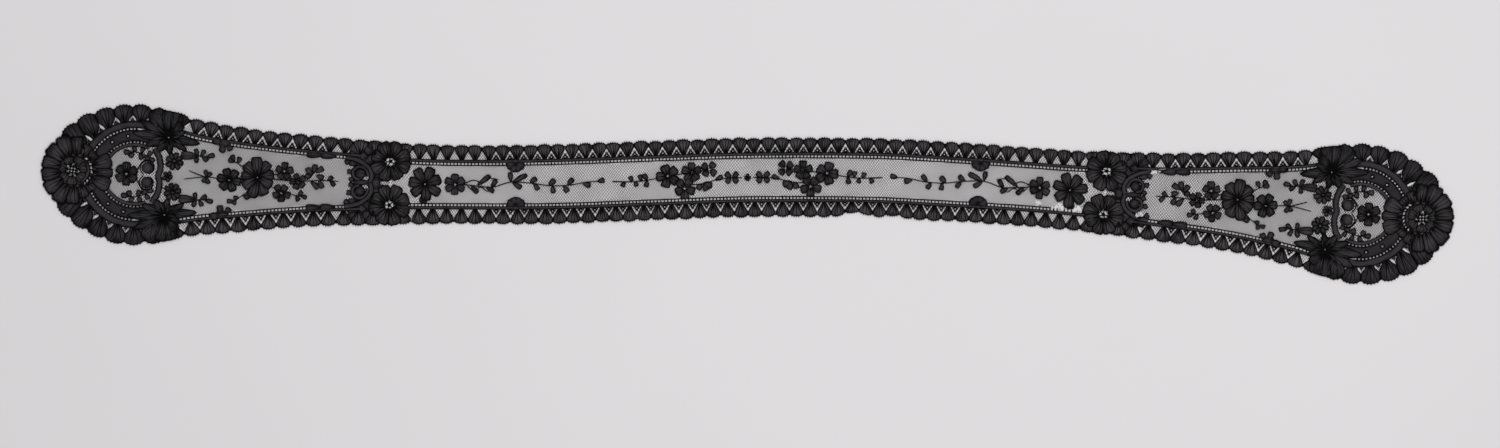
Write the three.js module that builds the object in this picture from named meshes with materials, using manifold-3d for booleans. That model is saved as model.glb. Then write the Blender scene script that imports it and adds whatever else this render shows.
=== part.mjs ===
// A black silk bobbin-lace lappet, laid flat: a long strip of fine net with a rounded, wider
// head at each end, a scalloped edging of fans all round it, and flowers, leaves and scrolls
// worked in close cloth on the net. Millimetres, +X along the strip, +Z up, and it rests on z = 0.
//
// The lappet is drawn straight and symmetrical first: s runs from the middle of the strip to the
// tip of a head and t across it. Each piece is mirrored into both ends and both sides, and then
// laid down on the slight bow in which the strip lies.
import * as THREE from "three";
import { mergeVertices } from "three/addons/utils/BufferGeometryUtils.js";
import Module from "manifold-3d";

const wasm = await Module();
wasm.setup();

// ---- Driving sizes ----
const TIP = 565.5; // from the middle of the strip to the tip of a head
const NET_THICK = 1; // the wall that stands for the net
const LAYER_GAP = 0.3; // between the net and the close cloth on it
const CLOTH_THICK = 0.9; // the close cloth of the edging and the motifs
const ROSE_THICK = 1.3; // the fuller cloth of the largest flowers
const SEAM = 0.3; // between neighbouring pieces
const SEAM_AT = 286; // where the middle net is joined to the net of each end
// The net that shows between two fans: its top and its foot, from the peaks, and half its width.
const WINDOW = { apex: 4.8, half: 3.7 };
const HEAD_WINDOW = { apex: 6.4, foot: 13, half: 3.6, valleys: [3, 4, 5] };
const NET_INSET = 2.8; // from the peaks to the edge of the net under the fans
const FAN_FOOT = 12; // from the peaks to the feet of the fans
const RAIL_FROM = 12.4; // the braid with its eyelets under the fans, measured in from the peaks
const RAIL_TO = 17;
const CLOTH_FROM = NET_THICK + LAYER_GAP; // the underside of the close cloth
const STEM_WIDE = 1;
const ROOT = 1; // how far a leaf is rooted beyond the line of its stem
const FULL_TURN = 360; // degrees in a full turn
const CUT_CLEAR = 1; // how far a cut goes past the cloth, above and below
const WELD = 1e-4; // points nearer than this are one point

// The edge through the scallops' peaks: half the width at each distance from the middle.
const EDGE = [
  { s: 0, t: 31.8 },
  { s: 130, t: 32 },
  { s: 262, t: 32 },
  { s: 290, t: 33.5 },
  { s: 345, t: 36.5 },
  { s: 400, t: 41.5 },
  { s: 440, t: 46.8 },
  { s: 468, t: 53.5 },
  { s: 495, t: 56.5 },
  { s: 522, t: 50.5 },
  { s: 545, t: 36.5 },
  { s: 560, t: 19 },
  { s: TIP, t: 0 },
];

// The scallops along one half of one side, from the middle to the tip.
const RUNS = [
  { name: "centre", from: 0, to: 268, scallops: 24, depth: 2.1, steps: 3 },
  { name: "joint", from: 268, to: 304, scallops: 3, depth: 1.8, steps: 3 },
  { name: "taper", from: 304, to: 447, scallops: 12, depth: 2.4, steps: 3 },
  { name: "head", from: 447, to: TIP, scallops: 9, depth: 3, steps: 4 },
];
const [CENTRE_RUN, , TAPER_RUN, HEAD_RUN] = RUNS;
const FAN_ROUND = 0.7; // the lower, the squarer the end of a fan
const EDGE_START = 0.5; // the first valley of a stretch of edging lies at least this far along it

// The bow in which the strip lies: how far its middle line is from the X axis.
const LAY = [
  { s: -566, y: 21.4 },
  { s: -495, y: 16.4 },
  { s: -420, y: 12.4 },
  { s: -342, y: 10.6 },
  { s: -246, y: 8.1 },
  { s: -160, y: 8.3 },
  { s: -73, y: 11.3 },
  { s: 0, y: 13.6 },
  { s: 100, y: 13.3 },
  { s: 157, y: 10.5 },
  { s: 215, y: 6.8 },
  { s: 272, y: 2.4 },
  { s: 330, y: -2 },
  { s: 388, y: -5.8 },
  { s: 445, y: -11.4 },
  { s: 503, y: -16.4 },
  { s: 566, y: -21 },
];

// Places where the lower edge has rolled under and lies narrower.
const ROLLED = [
  { s: 87, long: 13, by: 3.4 },
  { s: 118, long: 10, by: 1.8 },
];
const ROLL_FROM = 18; // the roll starts this far from the middle line
const ROLL_OVER = 14;

// Holes torn in the worn lace by the seam of the right end.
const RIPS = [
  { s: 233.6, t: -13, long: 4.8, wide: 4 },
  { s: 251, t: -13.8, long: 6, wide: 4.6 },
  { s: 265, t: -14.6, long: 6.4, wide: 5 },
  { s: 268.6, t: -26, long: 4.8, wide: 5 },
  { s: 304.6, t: -22.4, long: 7, wide: 6.4 },
  { s: 314, t: -16.6, long: 5.2, wide: 4.2 },
  { s: 315, t: -26.2, long: 6, wide: 7.4 },
  { s: 322, t: 19.8, long: 6, wide: 4.2 },
  { s: 330, t: 20.4, long: 5, wide: 4 },
];
const RIP_RAGGED = [1, 0.8, 1.04, 0.92, 0.78, 1];

// How petals end: the share of a petal's reach at which its end begins to round, the share of its
// width that this end keeps, and the share of the shorter neighbour's reach at which the gap begins.
const ROUND = { shoulder: 0.88, spread: 0.72, notch: 0.5, tip: true };
const SPIKY = { shoulder: 0.72, spread: 0.85, notch: 0.52, tip: true };
const FULL = { shoulder: 0.93, spread: 0.8, notch: 0.76, tip: true };
const SMALL = { shoulder: 0.96, spread: 0.6, notch: 0.5, tip: false };
const ROSE = { shoulder: 0.98, spread: 0.66, notch: 0.78, tip: false };
const WIDEST = 0.75; // the share of its reach at which a petal has its width
const PETAL_HALF_TURN = 150; // half of what the petals of a round flower fill of the full turn

// ---- The large flowers: one row for each petal, angles from the direction of the tip ----
const END_FLOWER = { s: 537, t: 0, form: FULL };
const END_PETALS = [
  { angle: 13, to: 28.5, wide: 10.5 },
  { angle: 38, to: 29.5, wide: 11.5 },
  { angle: 63, to: 30.5, wide: 11.5 },
  { angle: 88, to: 28, wide: 9.5 },
  { angle: 112, to: 22.5, wide: 7.5 },
  { angle: 135, to: 21.5, wide: 7.5 },
  { angle: 159, to: 30, wide: 8.5 },
];
const END_PETAL_INNER = { angle: 180, to: 31, wide: 6.5 };
const END_OPENING = { s: 538.5, t: 0, radius: 11.2, sides: 12 };
const CORNER_FLOWER = { s: 464.5, t: 31, form: SPIKY };
const CORNER_PETALS = [
  { angle: -22, to: 19, wide: 6 },
  { angle: 4, to: 28, wide: 8 },
  { angle: 28, to: 24, wide: 8 },
  { angle: 58, to: 27, wide: 11 },
  { angle: 84, to: 23, wide: 6.8 },
  { angle: 108, to: 20.5, wide: 6.8 },
  { angle: 188, to: 24, wide: 7 },
  { angle: 213, to: 17, wide: 6 },
  { angle: 262, to: 13, wide: 6 },
  { angle: 306, to: 14, wide: 7 },
];
const SPRAY_FLOWER = { s: 391.8, t: 2, form: ROUND };
const SPRAY_PETALS = [
  { angle: 0, to: 13, wide: 8 },
  { angle: 42, to: 15, wide: 9 },
  { angle: 90, to: 17, wide: 13 },
  { angle: 140, to: 15, wide: 9 },
  { angle: 180, to: 14, wide: 8 },
  { angle: 220, to: 15, wide: 8 },
  { angle: 270, to: 18, wide: 13 },
  { angle: 320, to: 14, wide: 9 },
];

// ---- The round flowers: their petals are evenly turned about the centre ----
const JOINT_FLOWER = { s: 286, t: 17.5, petals: 9, to: 15.2, turn: 10, form: ROUND };
const JOINT_BLOSSOM = { s: 257.5, t: 0, petals: 6, to: 11.2, turn: 0, form: ROUND };
const END_ROSE = { s: 538.5, t: 0, petals: 7, to: 10.4, turn: 12, form: ROSE };
const HEAD_BLOSSOM = { s: 496.5, t: 0, petals: 5, to: 9.2, turn: 36, form: SMALL };
const VINE_BLOSSOM = { s: 234, t: 0, petals: 6, to: 8, turn: 30, form: SMALL };
const SPRAY_BLOSSOMS = [
  { s: 414.5, t: -0.5, petals: 6, to: 9.8, turn: 10, form: SMALL },
  { s: 370.4, t: 7.4, petals: 5, to: 7.4, turn: 20, form: SMALL },
  { s: 359.5, t: -0.6, petals: 5, to: 6.4, turn: 0, form: SMALL },
  { s: 372.6, t: -10, petals: 5, to: 7.4, turn: 50, form: SMALL },
];
const BUNCH_BLOSSOMS = [
  { s: 44.5, t: 5.3, petals: 5, to: 7.6, turn: 18, form: SMALL },
  { s: 63.5, t: 3.2, petals: 5, to: 8.8, turn: 0, form: SMALL },
  { s: 50.5, t: -7.4, petals: 5, to: 8, turn: 54, form: SMALL },
  { s: 30.5, t: 7.2, petals: 4, to: 5.8, turn: 40, form: SMALL },
];
const STAR_BLOSSOM = { s: 458, t: 12, petals: 6, to: 6.6, turn: 15, form: SMALL };
const CENTRE_BUD = { s: 0, t: 0, radius: 2.6, sides: 8 };
const ARCH_BUD = { s: 463.5, t: 0, petals: 4, to: 3.8, turn: 0, form: SMALL };

// ---- Leaves: the foot of each leaf on its stem, the way it points, its length and width ----
const VINE_STEM = [
  [229, 0.4], [214, -1.4], [203, -1.8], [189, 2], [172, 0.8],
  [157, -1.4], [142, -1.2], [128, 0.8], [116, 0.8],
];
const VINE_LEAVES = [
  { s: 216, t: -0.6, angle: 142, long: 13, wide: 3.6 },
  { s: 221, t: -0.8, angle: 228, long: 8, wide: 3.4 },
  { s: 209, t: -1.8, angle: 212, long: 7.5, wide: 3.2 },
  { s: 189, t: 2, angle: 84, long: 8, wide: 3.2 },
  { s: 188, t: 2, angle: 154, long: 13, wide: 3.6 },
  { s: 188, t: 1.6, angle: 212, long: 8.5, wide: 3.4 },
  { s: 174, t: 0.8, angle: 140, long: 7, wide: 3.4 },
  { s: 171, t: 0.6, angle: 232, long: 6.5, wide: 3.2 },
  { s: 159, t: -1.2, angle: 136, long: 7, wide: 3.6 },
  { s: 147, t: -1.4, angle: 240, long: 6.4, wide: 3.6 },
  { s: 144, t: -1.2, angle: 132, long: 7, wide: 3.4 },
  { s: 132, t: 0, angle: 200, long: 7, wide: 3.6 },
  { s: 120, t: 0.8, angle: 168, long: 6, wide: 3.4 },
];
const BUNCH_STEMS = [
  [[108, 0.4], [92, -0.4], [80, 0.4], [66, 2.6]],
  [[62, 2], [52, -5]],
  [[60, 3.6], [44, 5.4], [31, 7.2]],
  [[52, -4], [40, -4.4], [31, -3], [22, -0.6], [4.4, 0]],
];
const BUNCH_LEAVES = [
  { s: 98, t: -0.2, angle: 300, long: 4.6, wide: 3 },
  { s: 92, t: -0.2, angle: 68, long: 4.6, wide: 3.2 },
  { s: 80, t: 0.4, angle: 60, long: 6, wide: 3.4 },
  { s: 80, t: 0.2, angle: 284, long: 5.4, wide: 3.4 },
  { s: 36, t: -3.8, angle: 196, long: 8, wide: 5 },
  { s: 35, t: -3.8, angle: 250, long: 6.4, wide: 5 },
  { s: 37, t: -3.8, angle: 300, long: 6, wide: 4.6 },
  { s: 26, t: -1.4, angle: 158, long: 7, wide: 3.4 },
  { s: 13, t: 0, angle: 42, long: 5.6, wide: 3.8 },
  { s: 12, t: 0, angle: 138, long: 5.6, wide: 3.8 },
  { s: 12, t: 0, angle: 222, long: 5.2, wide: 3.6 },
  { s: 13, t: 0, angle: 318, long: 5.2, wide: 3.6 },
];
const SPRAY_STEMS = [
  [[400, 1], [418, 0], [434, 1], [451, -1.6]],
  [[434, 1], [447, 5.4]],
  [[384, 3], [370, 6.6]],
  [[380, 1], [360, -0.4], [342, 0.6], [327, 0.4]],
  [[384, -3], [372, -9.4], [358, -12]],
  [[352, 1], [346, 7]],
];
const SPRAY_LEAVES = [
  { s: 432, t: 1, angle: 70, long: 6, wide: 3 },
  { s: 432, t: 1, angle: 128, long: 5, wide: 3 },
  { s: 433, t: 1, angle: 246, long: 6, wide: 3 },
  { s: 359, t: -12, angle: 130, long: 5, wide: 3 },
  { s: 357, t: -12.4, angle: 190, long: 5, wide: 3 },
  { s: 348, t: 4.6, angle: 58, long: 7, wide: 3.2 },
  { s: 347, t: 6, angle: 98, long: 7, wide: 3.2 },
  { s: 346, t: 7, angle: 150, long: 7, wide: 3.2 },
  { s: 349, t: 0, angle: 226, long: 8, wide: 3.4 },
  { s: 343, t: 0.6, angle: 236, long: 6.6, wide: 3.2 },
  { s: 334, t: 0.4, angle: 222, long: 5, wide: 2.8 },
];
const BUD_STEM = [[452, 17], [440, 17.4], [430, 17]];
const BUD_LEAVES = [
  { s: 440, t: 17.4, angle: 0, long: 14, wide: 6.2 },
  { s: 440, t: 17.4, angle: 66, long: 6, wide: 3 },
  { s: 434, t: 17.2, angle: 168, long: 7.4, wide: 3.2 },
  { s: 437, t: 17.2, angle: 214, long: 6, wide: 3 },
  { s: 440, t: 17.2, angle: 290, long: 5.4, wide: 3 },
];
const HEAD_SPRIG_STEM = [[494.5, 18], [487, 17.4], [479.5, 14.6]];
const HEAD_SPRIG_LEAVES = [
  { s: 492, t: 18, angle: 330, long: 5, wide: 3 },
  { s: 489, t: 17.6, angle: 70, long: 4.4, wide: 3 },
  { s: 487, t: 17.4, angle: 250, long: 5, wide: 3 },
  { s: 481, t: 15, angle: 236, long: 4.8, wide: 3 },
];

// ---- Curved bands ----
const CRESCENT = { s: 490, t: -2, inner: 26.4, outer: 39.6, from: 20, to: 112, steps: 6 };
const ARCH = {
  wide: 2.6,
  steps: 10,
  line: [[474, 22], [469.6, 14], [468.2, 6], [469.6, 0], [468.2, -6], [469.6, -14], [474, -22]],
};
const STAR_TIE = [[469, 9], [458, 12]];
const BUD_TIE = [[468.6, 0], [463.5, 0]];
const DISC = { s: 480, t: 5.9, radius: 4.7, sides: 8 };
const DISC_TIE = [[488, 0], [484.5, 8], [480, 5.9]];
const SCROLL = { wide: 3.2, steps: 5, line: [[318, 19.6], [309, 17], [302.6, 11], [300.6, 4], [303, 0]] };
const CURL = {
  wide: 3.2,
  steps: 7,
  line: [[301.6, 9], [305.4, 12.6], [311, 12], [314.4, 8], [312.4, 4.2], [308.4, 5.2]],
};
const SCROLL_LEAF = { s: 301, t: 0, angle: 0, long: 16, wide: 4.6 };
const HEAD_EDGING = { from: 460, to: 552, band: 40.1, bandFrom: 20, bandTo: 118, steps: 7 };
const TAPER_EDGING = { from: 287, to: 458.5 };
const TAPER_RAIL = { from: 308, to: 453, steps: 6 };
const CENTRE_RAIL = { from: 0, to: 276, steps: 8 };
const CENTRE_EDGING_TO = 284.5;
const NET_STEPS = { centre: 11, taper: 8, head: 15 };

// Small knots of close cloth that ride on the eyelet rails.
const RAIL_KNOTS = [
  { s: 185.5, angle: 210, long: 6, wide: 5 },
  { s: 185.5, angle: 270, long: 6, wide: 5 },
  { s: 185.5, angle: 330, long: 6, wide: 5 },
  { s: 331, angle: 4, long: 22, wide: 4.6 },
  { s: 414, angle: 10, long: 12, wide: 5 },
  { s: 420, angle: 282, long: 7, wide: 4 },
];
const KNOT_DEPTH = 15.8; // where a knot is rooted, measured in from the peaks

// ---- Finishes ----
const silk = (color, roughness) => new THREE.MeshStandardMaterial({ color, roughness, metalness: 0 });
const NET = silk(0x55525a, 0.9);
const EDGING = silk(0x242326, 0.85);
const CLOTH = silk(0x2e2d31, 0.85);
const RAIL = silk(0x1c1b1e, 0.8);

// ---- Plane geometry in the straight frame ----
const radians = (degrees) => (degrees * Math.PI) / 180;
const polar = (s, t, angle, reach) => [
  s + reach * Math.cos(radians(angle)),
  t + reach * Math.sin(radians(angle)),
];

// A smooth line through the given points, sampled evenly.
function smooth(points, steps) {
  const curve = new THREE.SplineCurve(points.map(([s, t]) => new THREE.Vector2(s, t)));
  return curve.getSpacedPoints(steps).map((p) => [p.x, p.y]);
}

// One half of the edge from the middle to the tip, with its running length.
const EDGE_SAMPLES = 900;
const edgeLine = (() => {
  const side = EDGE.map(({ s, t }) => new THREE.Vector3(s, t, 0));
  const round = EDGE.slice(0, -1).reverse().map(({ s, t }) => new THREE.Vector3(s, -t, 0));
  const curve = new THREE.CatmullRomCurve3([...side, ...round], false, "centripetal");
  const points = curve.getPoints(2 * EDGE_SAMPLES).slice(0, EDGE_SAMPLES + 1);
  let length = 0;
  return points.map((p, i) => {
    length += i ? p.distanceTo(points[i - 1]) : 0;
    return { s: p.x, t: p.y, length };
  });
})();

// The running length at which the edge reaches a distance s from the middle.
function lengthAt(s) {
  const i = Math.max(1, edgeLine.findIndex((p) => p.s >= s - 1e-6));
  const [a, b] = [edgeLine[i - 1], edgeLine[i]];
  return a.length + ((s - a.s) / (b.s - a.s)) * (b.length - a.length);
}

// The point a given depth in from the edge, at a running length along it.
function inset(length, depth) {
  const found = edgeLine.findIndex((p) => p.length >= length);
  const i = found < 1 ? (found === 0 ? 1 : edgeLine.length - 1) : found;
  const [a, b] = [edgeLine[i - 1], edgeLine[i]];
  const f = (length - a.length) / (b.length - a.length);
  const along = new THREE.Vector2(b.s - a.s, b.t - a.t).normalize();
  return [a.s + f * (b.s - a.s) + depth * along.y, a.t + f * (b.t - a.t) - depth * along.x];
}

// The scalloped edge of one run, as a list of points with their running lengths.
function scallops({ from, to, scallops: count, depth, steps }) {
  const [start, end] = [lengthAt(from), lengthAt(to)];
  return Array.from({ length: count * steps + 1 }, (_, i) => {
    const length = start + ((end - start) * i) / (count * steps);
    const swell = Math.sin((Math.PI * (i % steps)) / steps) ** FAN_ROUND;
    return inset(length, depth * (1 - swell));
  });
}

// The whole scalloped edge of one half of one side, between two distances from the middle.
function scallopedEdge(from, to) {
  const points = RUNS.flatMap((run) => scallops(run).slice(0, -1));
  return points.filter(([s]) => s > from + EDGE_START && s < to);
}

// A line at one depth in from the edge.
function insetLine(from, to, depth, steps) {
  const [start, end] = [lengthAt(from), lengthAt(to)];
  return Array.from({ length: steps + 1 }, (_, i) => inset(start + ((end - start) * i) / steps, depth));
}

const disc = ({ s, t, radius, sides }) =>
  Array.from({ length: sides }, (_, i) => polar(s, t, (FULL_TURN * i) / sides, radius));

// A leaf rooted in a stem, widest halfway along.
function leaf({ s, t, angle, long, wide }) {
  const belly = (side) => polar(...polar(s, t, angle, long / 2), angle + side * 90, wide / 2);
  return [polar(s, t, angle, -ROOT), belly(-1), polar(s, t, angle, long), belly(1)];
}

// A band of even width along a smooth line.
function stroke(line, wide, steps = 2 * (line.length - 1)) {
  const points = smooth(line, steps);
  const side = (sign) =>
    points.map(([s, t], i) => {
      const [a, b] = [points[Math.max(0, i - 1)], points[Math.min(steps, i + 1)]];
      const reach = (sign * wide) / 2 / Math.hypot(b[0] - a[0], b[1] - a[1]);
      return [s - reach * (b[1] - a[1]), t + reach * (b[0] - a[0])];
    });
  return [...side(1), ...side(-1).reverse()];
}

// A flower as one lobed outline: two or three points for each petal and one in the gap after it.
function flower({ s, t, form }, petals) {
  const halfAngle = ({ to, wide }) => THREE.MathUtils.radToDeg(Math.atan(wide / 2 / (WIDEST * to)));
  const lobes = petals
    .map((petal) => ({ ...petal, half: halfAngle(petal) }))
    .sort((a, b) => a.angle - b.angle);
  return lobes.flatMap((lobe, i) => {
    const next = lobes[(i + 1) % lobes.length];
    const end = next.angle + (i + 1 < lobes.length ? 0 : FULL_TURN);
    const gap = (lobe.angle + lobe.half + end - next.half) / 2;
    return [
      polar(s, t, lobe.angle - form.spread * lobe.half, form.shoulder * lobe.to),
      ...(form.tip ? [polar(s, t, lobe.angle, lobe.to)] : []),
      polar(s, t, lobe.angle + form.spread * lobe.half, form.shoulder * lobe.to),
      polar(s, t, gap, form.notch * Math.min(lobe.to, next.to)),
    ];
  });
}

// A flower whose petals are all alike.
function blossom(row) {
  const wide = 2 * WIDEST * row.to * Math.tan(radians(PETAL_HALF_TURN / row.petals));
  const angles = Array.from({ length: row.petals }, (_, i) => row.turn + (FULL_TURN * i) / row.petals);
  return flower(row, angles.map((angle) => ({ angle, to: row.to, wide })));
}

// An outline moved out all round by an even distance, and by less than that at its sharp corners.
const SHARPEST = 0.3;
function grown(outline, by) {
  const facing = THREE.ShapeUtils.area(outline.map(([x, y]) => new THREE.Vector2(x, y))) > 0 ? 1 : -1;
  return outline.map(([s, t], i) => {
    const [a, b] = [outline.at(i - 1), outline[(i + 1) % outline.length]];
    const before = new THREE.Vector2(t - a[1], a[0] - s).normalize();
    const after = new THREE.Vector2(b[1] - t, s - b[0]).normalize();
    const out = before.add(after).multiplyScalar(0.5);
    const reach = (facing * by) / Math.max(out.lengthSq(), SHARPEST);
    return [s + reach * out.x, t + reach * out.y];
  });
}

// ---- The motifs, each as the outlines that make it up ----
const mirrored = (rows) => [...rows, ...rows.map((row) => ({ ...row, angle: -row.angle }))];
const across = (outline) => outline.map(([s, t]) => [s, -t]);
const both = (outlines) => [...outlines, ...outlines.map(across)];
const stems = (lines) => lines.map((line) => stroke(line, STEM_WIDE, line.length - 1));

const endFlower = [flower(END_FLOWER, [...mirrored(END_PETALS), END_PETAL_INNER])];
const cornerFlower = [flower(CORNER_FLOWER, CORNER_PETALS)];
const budSprig = [...stems([BUD_STEM]), ...BUD_LEAVES.map(leaf)];
const headSprig = [...stems([HEAD_SPRIG_STEM]), ...HEAD_SPRIG_LEAVES.map(leaf)];
const vine = [blossom(VINE_BLOSSOM), ...stems([VINE_STEM]), ...VINE_LEAVES.map(leaf)];
const bunch = [...BUNCH_BLOSSOMS.map(blossom), ...stems(BUNCH_STEMS), ...BUNCH_LEAVES.map(leaf)];
const spray = [
  flower(SPRAY_FLOWER, SPRAY_PETALS),
  ...SPRAY_BLOSSOMS.map(blossom),
  ...stems(SPRAY_STEMS),
  ...SPRAY_LEAVES.map(leaf),
];
const headBlossom = [
  blossom(HEAD_BLOSSOM),
  ...both([disc(DISC), ...stems([DISC_TIE])]),
];
const arch = [
  stroke(ARCH.line, ARCH.wide, ARCH.steps),
  blossom(ARCH_BUD),
  ...stems([BUD_TIE]),
  ...both([blossom(STAR_BLOSSOM), ...stems([STAR_TIE])]),
];
const jointScroll = [
  leaf(SCROLL_LEAF),
  ...both([SCROLL, CURL].map(({ line, wide, steps }) => stroke(line, wide, steps))),
];
const centreBud = [disc(CENTRE_BUD)];

const crescent = (() => {
  const { s, t, inner, outer, from, to, steps } = CRESCENT;
  const arc = (radius) =>
    Array.from({ length: steps + 1 }, (_, i) => polar(s, t, from + ((to - from) * i) / steps, radius));
  return [[...arc(outer), ...arc(inner).reverse()]];
})();

// The small knots on one run of the eyelet rail.
function railKnots({ from, to }) {
  return RAIL_KNOTS.filter(({ s }) => s > from && s < to).map((row) => {
    const [s, t] = inset(lengthAt(row.s), KNOT_DEPTH);
    return leaf({ ...row, s, t });
  });
}

// ---- Solids ----
// How far the laid middle line is from the X axis, and its slope there.
function bow(s) {
  const i = Math.min(Math.max(1, LAY.findIndex((row) => row.s >= s)), LAY.length - 1);
  const row = (k) => LAY[Math.min(Math.max(0, k), LAY.length - 1)];
  const slope = (k) => (row(k + 1).y - row(k - 1).y) / (row(k + 1).s - row(k - 1).s);
  const [a, b] = [row(i - 1), row(i)];
  const wide = b.s - a.s;
  const f = (s - a.s) / wide;
  const [m, n] = [slope(i - 1) * wide, slope(i) * wide];
  const y = (2 * f ** 3 - 3 * f ** 2 + 1) * a.y + (f ** 3 - 2 * f ** 2 + f) * m;
  const rest = (3 * f ** 2 - 2 * f ** 3) * b.y + (f ** 3 - f ** 2) * n;
  const dy = (6 * f ** 2 - 6 * f) * (a.y - b.y) + (3 * f ** 2 - 4 * f + 1) * m + (3 * f ** 2 - 2 * f) * n;
  return { y: y + rest, slope: dy / wide };
}

// Lays a point of the straight lappet down on the bow, with the rolled edge drawn in.
function layDown([s, t]) {
  const share = Math.min(Math.max(0, (-t - ROLL_FROM) / ROLL_OVER), 1);
  const narrowed = ROLLED.map((row) => row.by * Math.exp(-(((s - row.s) / row.long) ** 2)));
  const drawn = share * narrowed.reduce((sum, by) => sum + by);
  const { y, slope } = bow(s);
  const turn = Math.atan(slope);
  return new THREE.Vector2(s - (t + drawn) * Math.sin(turn), y + (t + drawn) * Math.cos(turn));
}

function solidOf(geometry) {
  geometry.deleteAttribute("normal");
  geometry.deleteAttribute("uv");
  const merged = mergeVertices(geometry, WELD);
  const vertProperties = merged.attributes.position.array;
  const triVerts = new Uint32Array(merged.index.array);
  return new wasm.Manifold(new wasm.Mesh({ numProp: 3, vertProperties, triVerts }));
}

// A flat plate of cloth with the given outline and windows.
function plate(outline, bottom, thick, windows = []) {
  const laid = outline.map(layDown);
  const shape = new THREE.Shape(THREE.ShapeUtils.isClockWise(laid) ? laid.reverse() : laid);
  shape.holes = windows.map((window) => new THREE.Path(window.map(layDown)));
  const geometry = new THREE.ExtrudeGeometry(shape, { depth: thick, steps: 1, bevelEnabled: false });
  return solidOf(geometry.translate(0, 0, bottom));
}

const joined = (solids) => solids.reduce((all, one) => all.add(one));
const largest = (solid) => solid.decompose().sort((a, b) => b.volume() - a.volume())[0];
const onSide = (outline, end, side) => outline.map(([s, t]) => [end * s, side * t]);

const lappet = new THREE.Group();
lappet.name = "lace_lappet";

function addMesh(name, solid, material) {
  const { numProp, vertProperties, triVerts } = solid.asOriginal().getMesh();
  const places = Array.from({ length: vertProperties.length / numProp }, (_, i) =>
    Array.from(vertProperties.subarray(i * numProp, i * numProp + 3)),
  );
  const geometry = new THREE.BufferGeometry();
  geometry.setAttribute("position", new THREE.BufferAttribute(new Float32Array(places.flat()), 3));
  geometry.setIndex(new THREE.BufferAttribute(new Uint32Array(triVerts), 1));
  geometry.computeVertexNormals();
  const mesh = new THREE.Mesh(geometry, material);
  mesh.name = name;
  lappet.add(mesh);
}

const rips = joined(
  RIPS.map(({ s, t, long, wide }) => {
    const ragged = RIP_RAGGED.map((share, i) => {
      const [x, y] = polar(0, 0, (FULL_TURN * i) / RIP_RAGGED.length, share);
      return [s + (x * long) / 2, t + (y * wide) / 2];
    });
    return plate(ragged, -CUT_CLEAR, CLOTH_FROM + ROSE_THICK + 2 * CUT_CLEAR);
  }),
);

// Close cloth on the net: each new piece is cut clear of those already there.
const placed = [];
function addCloth(name, outlines, material, thick = CLOTH_THICK, windows = []) {
  const whole = joined(outlines.map((outline) => plate(outline, CLOTH_FROM, thick, windows)));
  const clear = placed.reduce((solid, blocker) => solid.subtract(blocker), whole);
  addMesh(name, largest(clear.subtract(rips)), material);
  const [from, deep] = [CLOTH_FROM - CUT_CLEAR, thick + 2 * CUT_CLEAR];
  placed.push(joined(outlines.map((outline) => plate(grown(outline, SEAM), from, deep))));
}

const ENDS = [{ end: -1, name: "left" }, { end: 1, name: "right" }];
const SIDES = [{ side: 1, name: "upper" }, { side: -1, name: "lower" }];

// A motif of each end, and one of each side of each end.
function addAtEnds(name, outlines, material, thick, windows = []) {
  ENDS.forEach(({ end, name: place }) => {
    const turned = (list) => list.map((outline) => onSide(outline, end, 1));
    addCloth(name + "_" + place, turned(outlines), material, thick, turned(windows));
  });
}
function addAtCorners(name, outlines, material, thick) {
  SIDES.forEach(({ side, name: where }) =>
    addAtEnds(name + "_" + where, outlines.map((o) => onSide(o, 1, side)), material, thick),
  );
}

// ---- The net, in three lengths ----
function addNet() {
  const half = SEAM / 2;
  const net = (outline) => plate(outline, 0, NET_THICK).subtract(rips);
  const taper = insetLine(SEAM_AT + half, HEAD_RUN.from, NET_INSET, NET_STEPS.taper);
  const head = insetLine(HEAD_RUN.from, TIP, NET_INSET, NET_STEPS.head).slice(1);
  const upper = [...taper, ...head];
  const endNet = [...upper, ...across(upper.slice(0, -1)).reverse()];
  ENDS.forEach(({ end, name }) => addMesh("net_" + name, net(onSide(endNet, end, 1)), NET));
  const line = insetLine(0, SEAM_AT - half, NET_INSET, NET_STEPS.centre);
  const side = [...onSide(line.slice(1), -1, 1).reverse(), ...line];
  addMesh("net_centre", net([...side, ...across(side).reverse()]), NET);
}

// ---- The motifs on it ----
function addMotifs() {
  addAtEnds("end_rose", [blossom(END_ROSE)], CLOTH, ROSE_THICK);
  addAtCorners("corner_flower", cornerFlower, CLOTH, ROSE_THICK);
  addAtCorners("joint_flower", [blossom(JOINT_FLOWER)], CLOTH, ROSE_THICK);
  addAtEnds("end_flower", endFlower, CLOTH, CLOTH_THICK, [disc(END_OPENING)]);
  addAtCorners("crescent", crescent, CLOTH);
  addAtEnds("head_blossom", headBlossom, CLOTH);
  addAtEnds("arch", arch, CLOTH);
  addAtCorners("head_sprig", headSprig, CLOTH);
  addAtCorners("bud_sprig", budSprig, CLOTH);
  addAtEnds("taper_spray", spray, CLOTH);
  addAtEnds("joint_scroll", jointScroll, CLOTH);
  addAtEnds("joint_blossom", [blossom(JOINT_BLOSSOM)], CLOTH);
  addAtEnds("vine", vine, CLOTH);
  addAtEnds("bunch", bunch, CLOTH);
  addCloth("centre_bud", centreBud, CLOTH);
}

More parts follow.
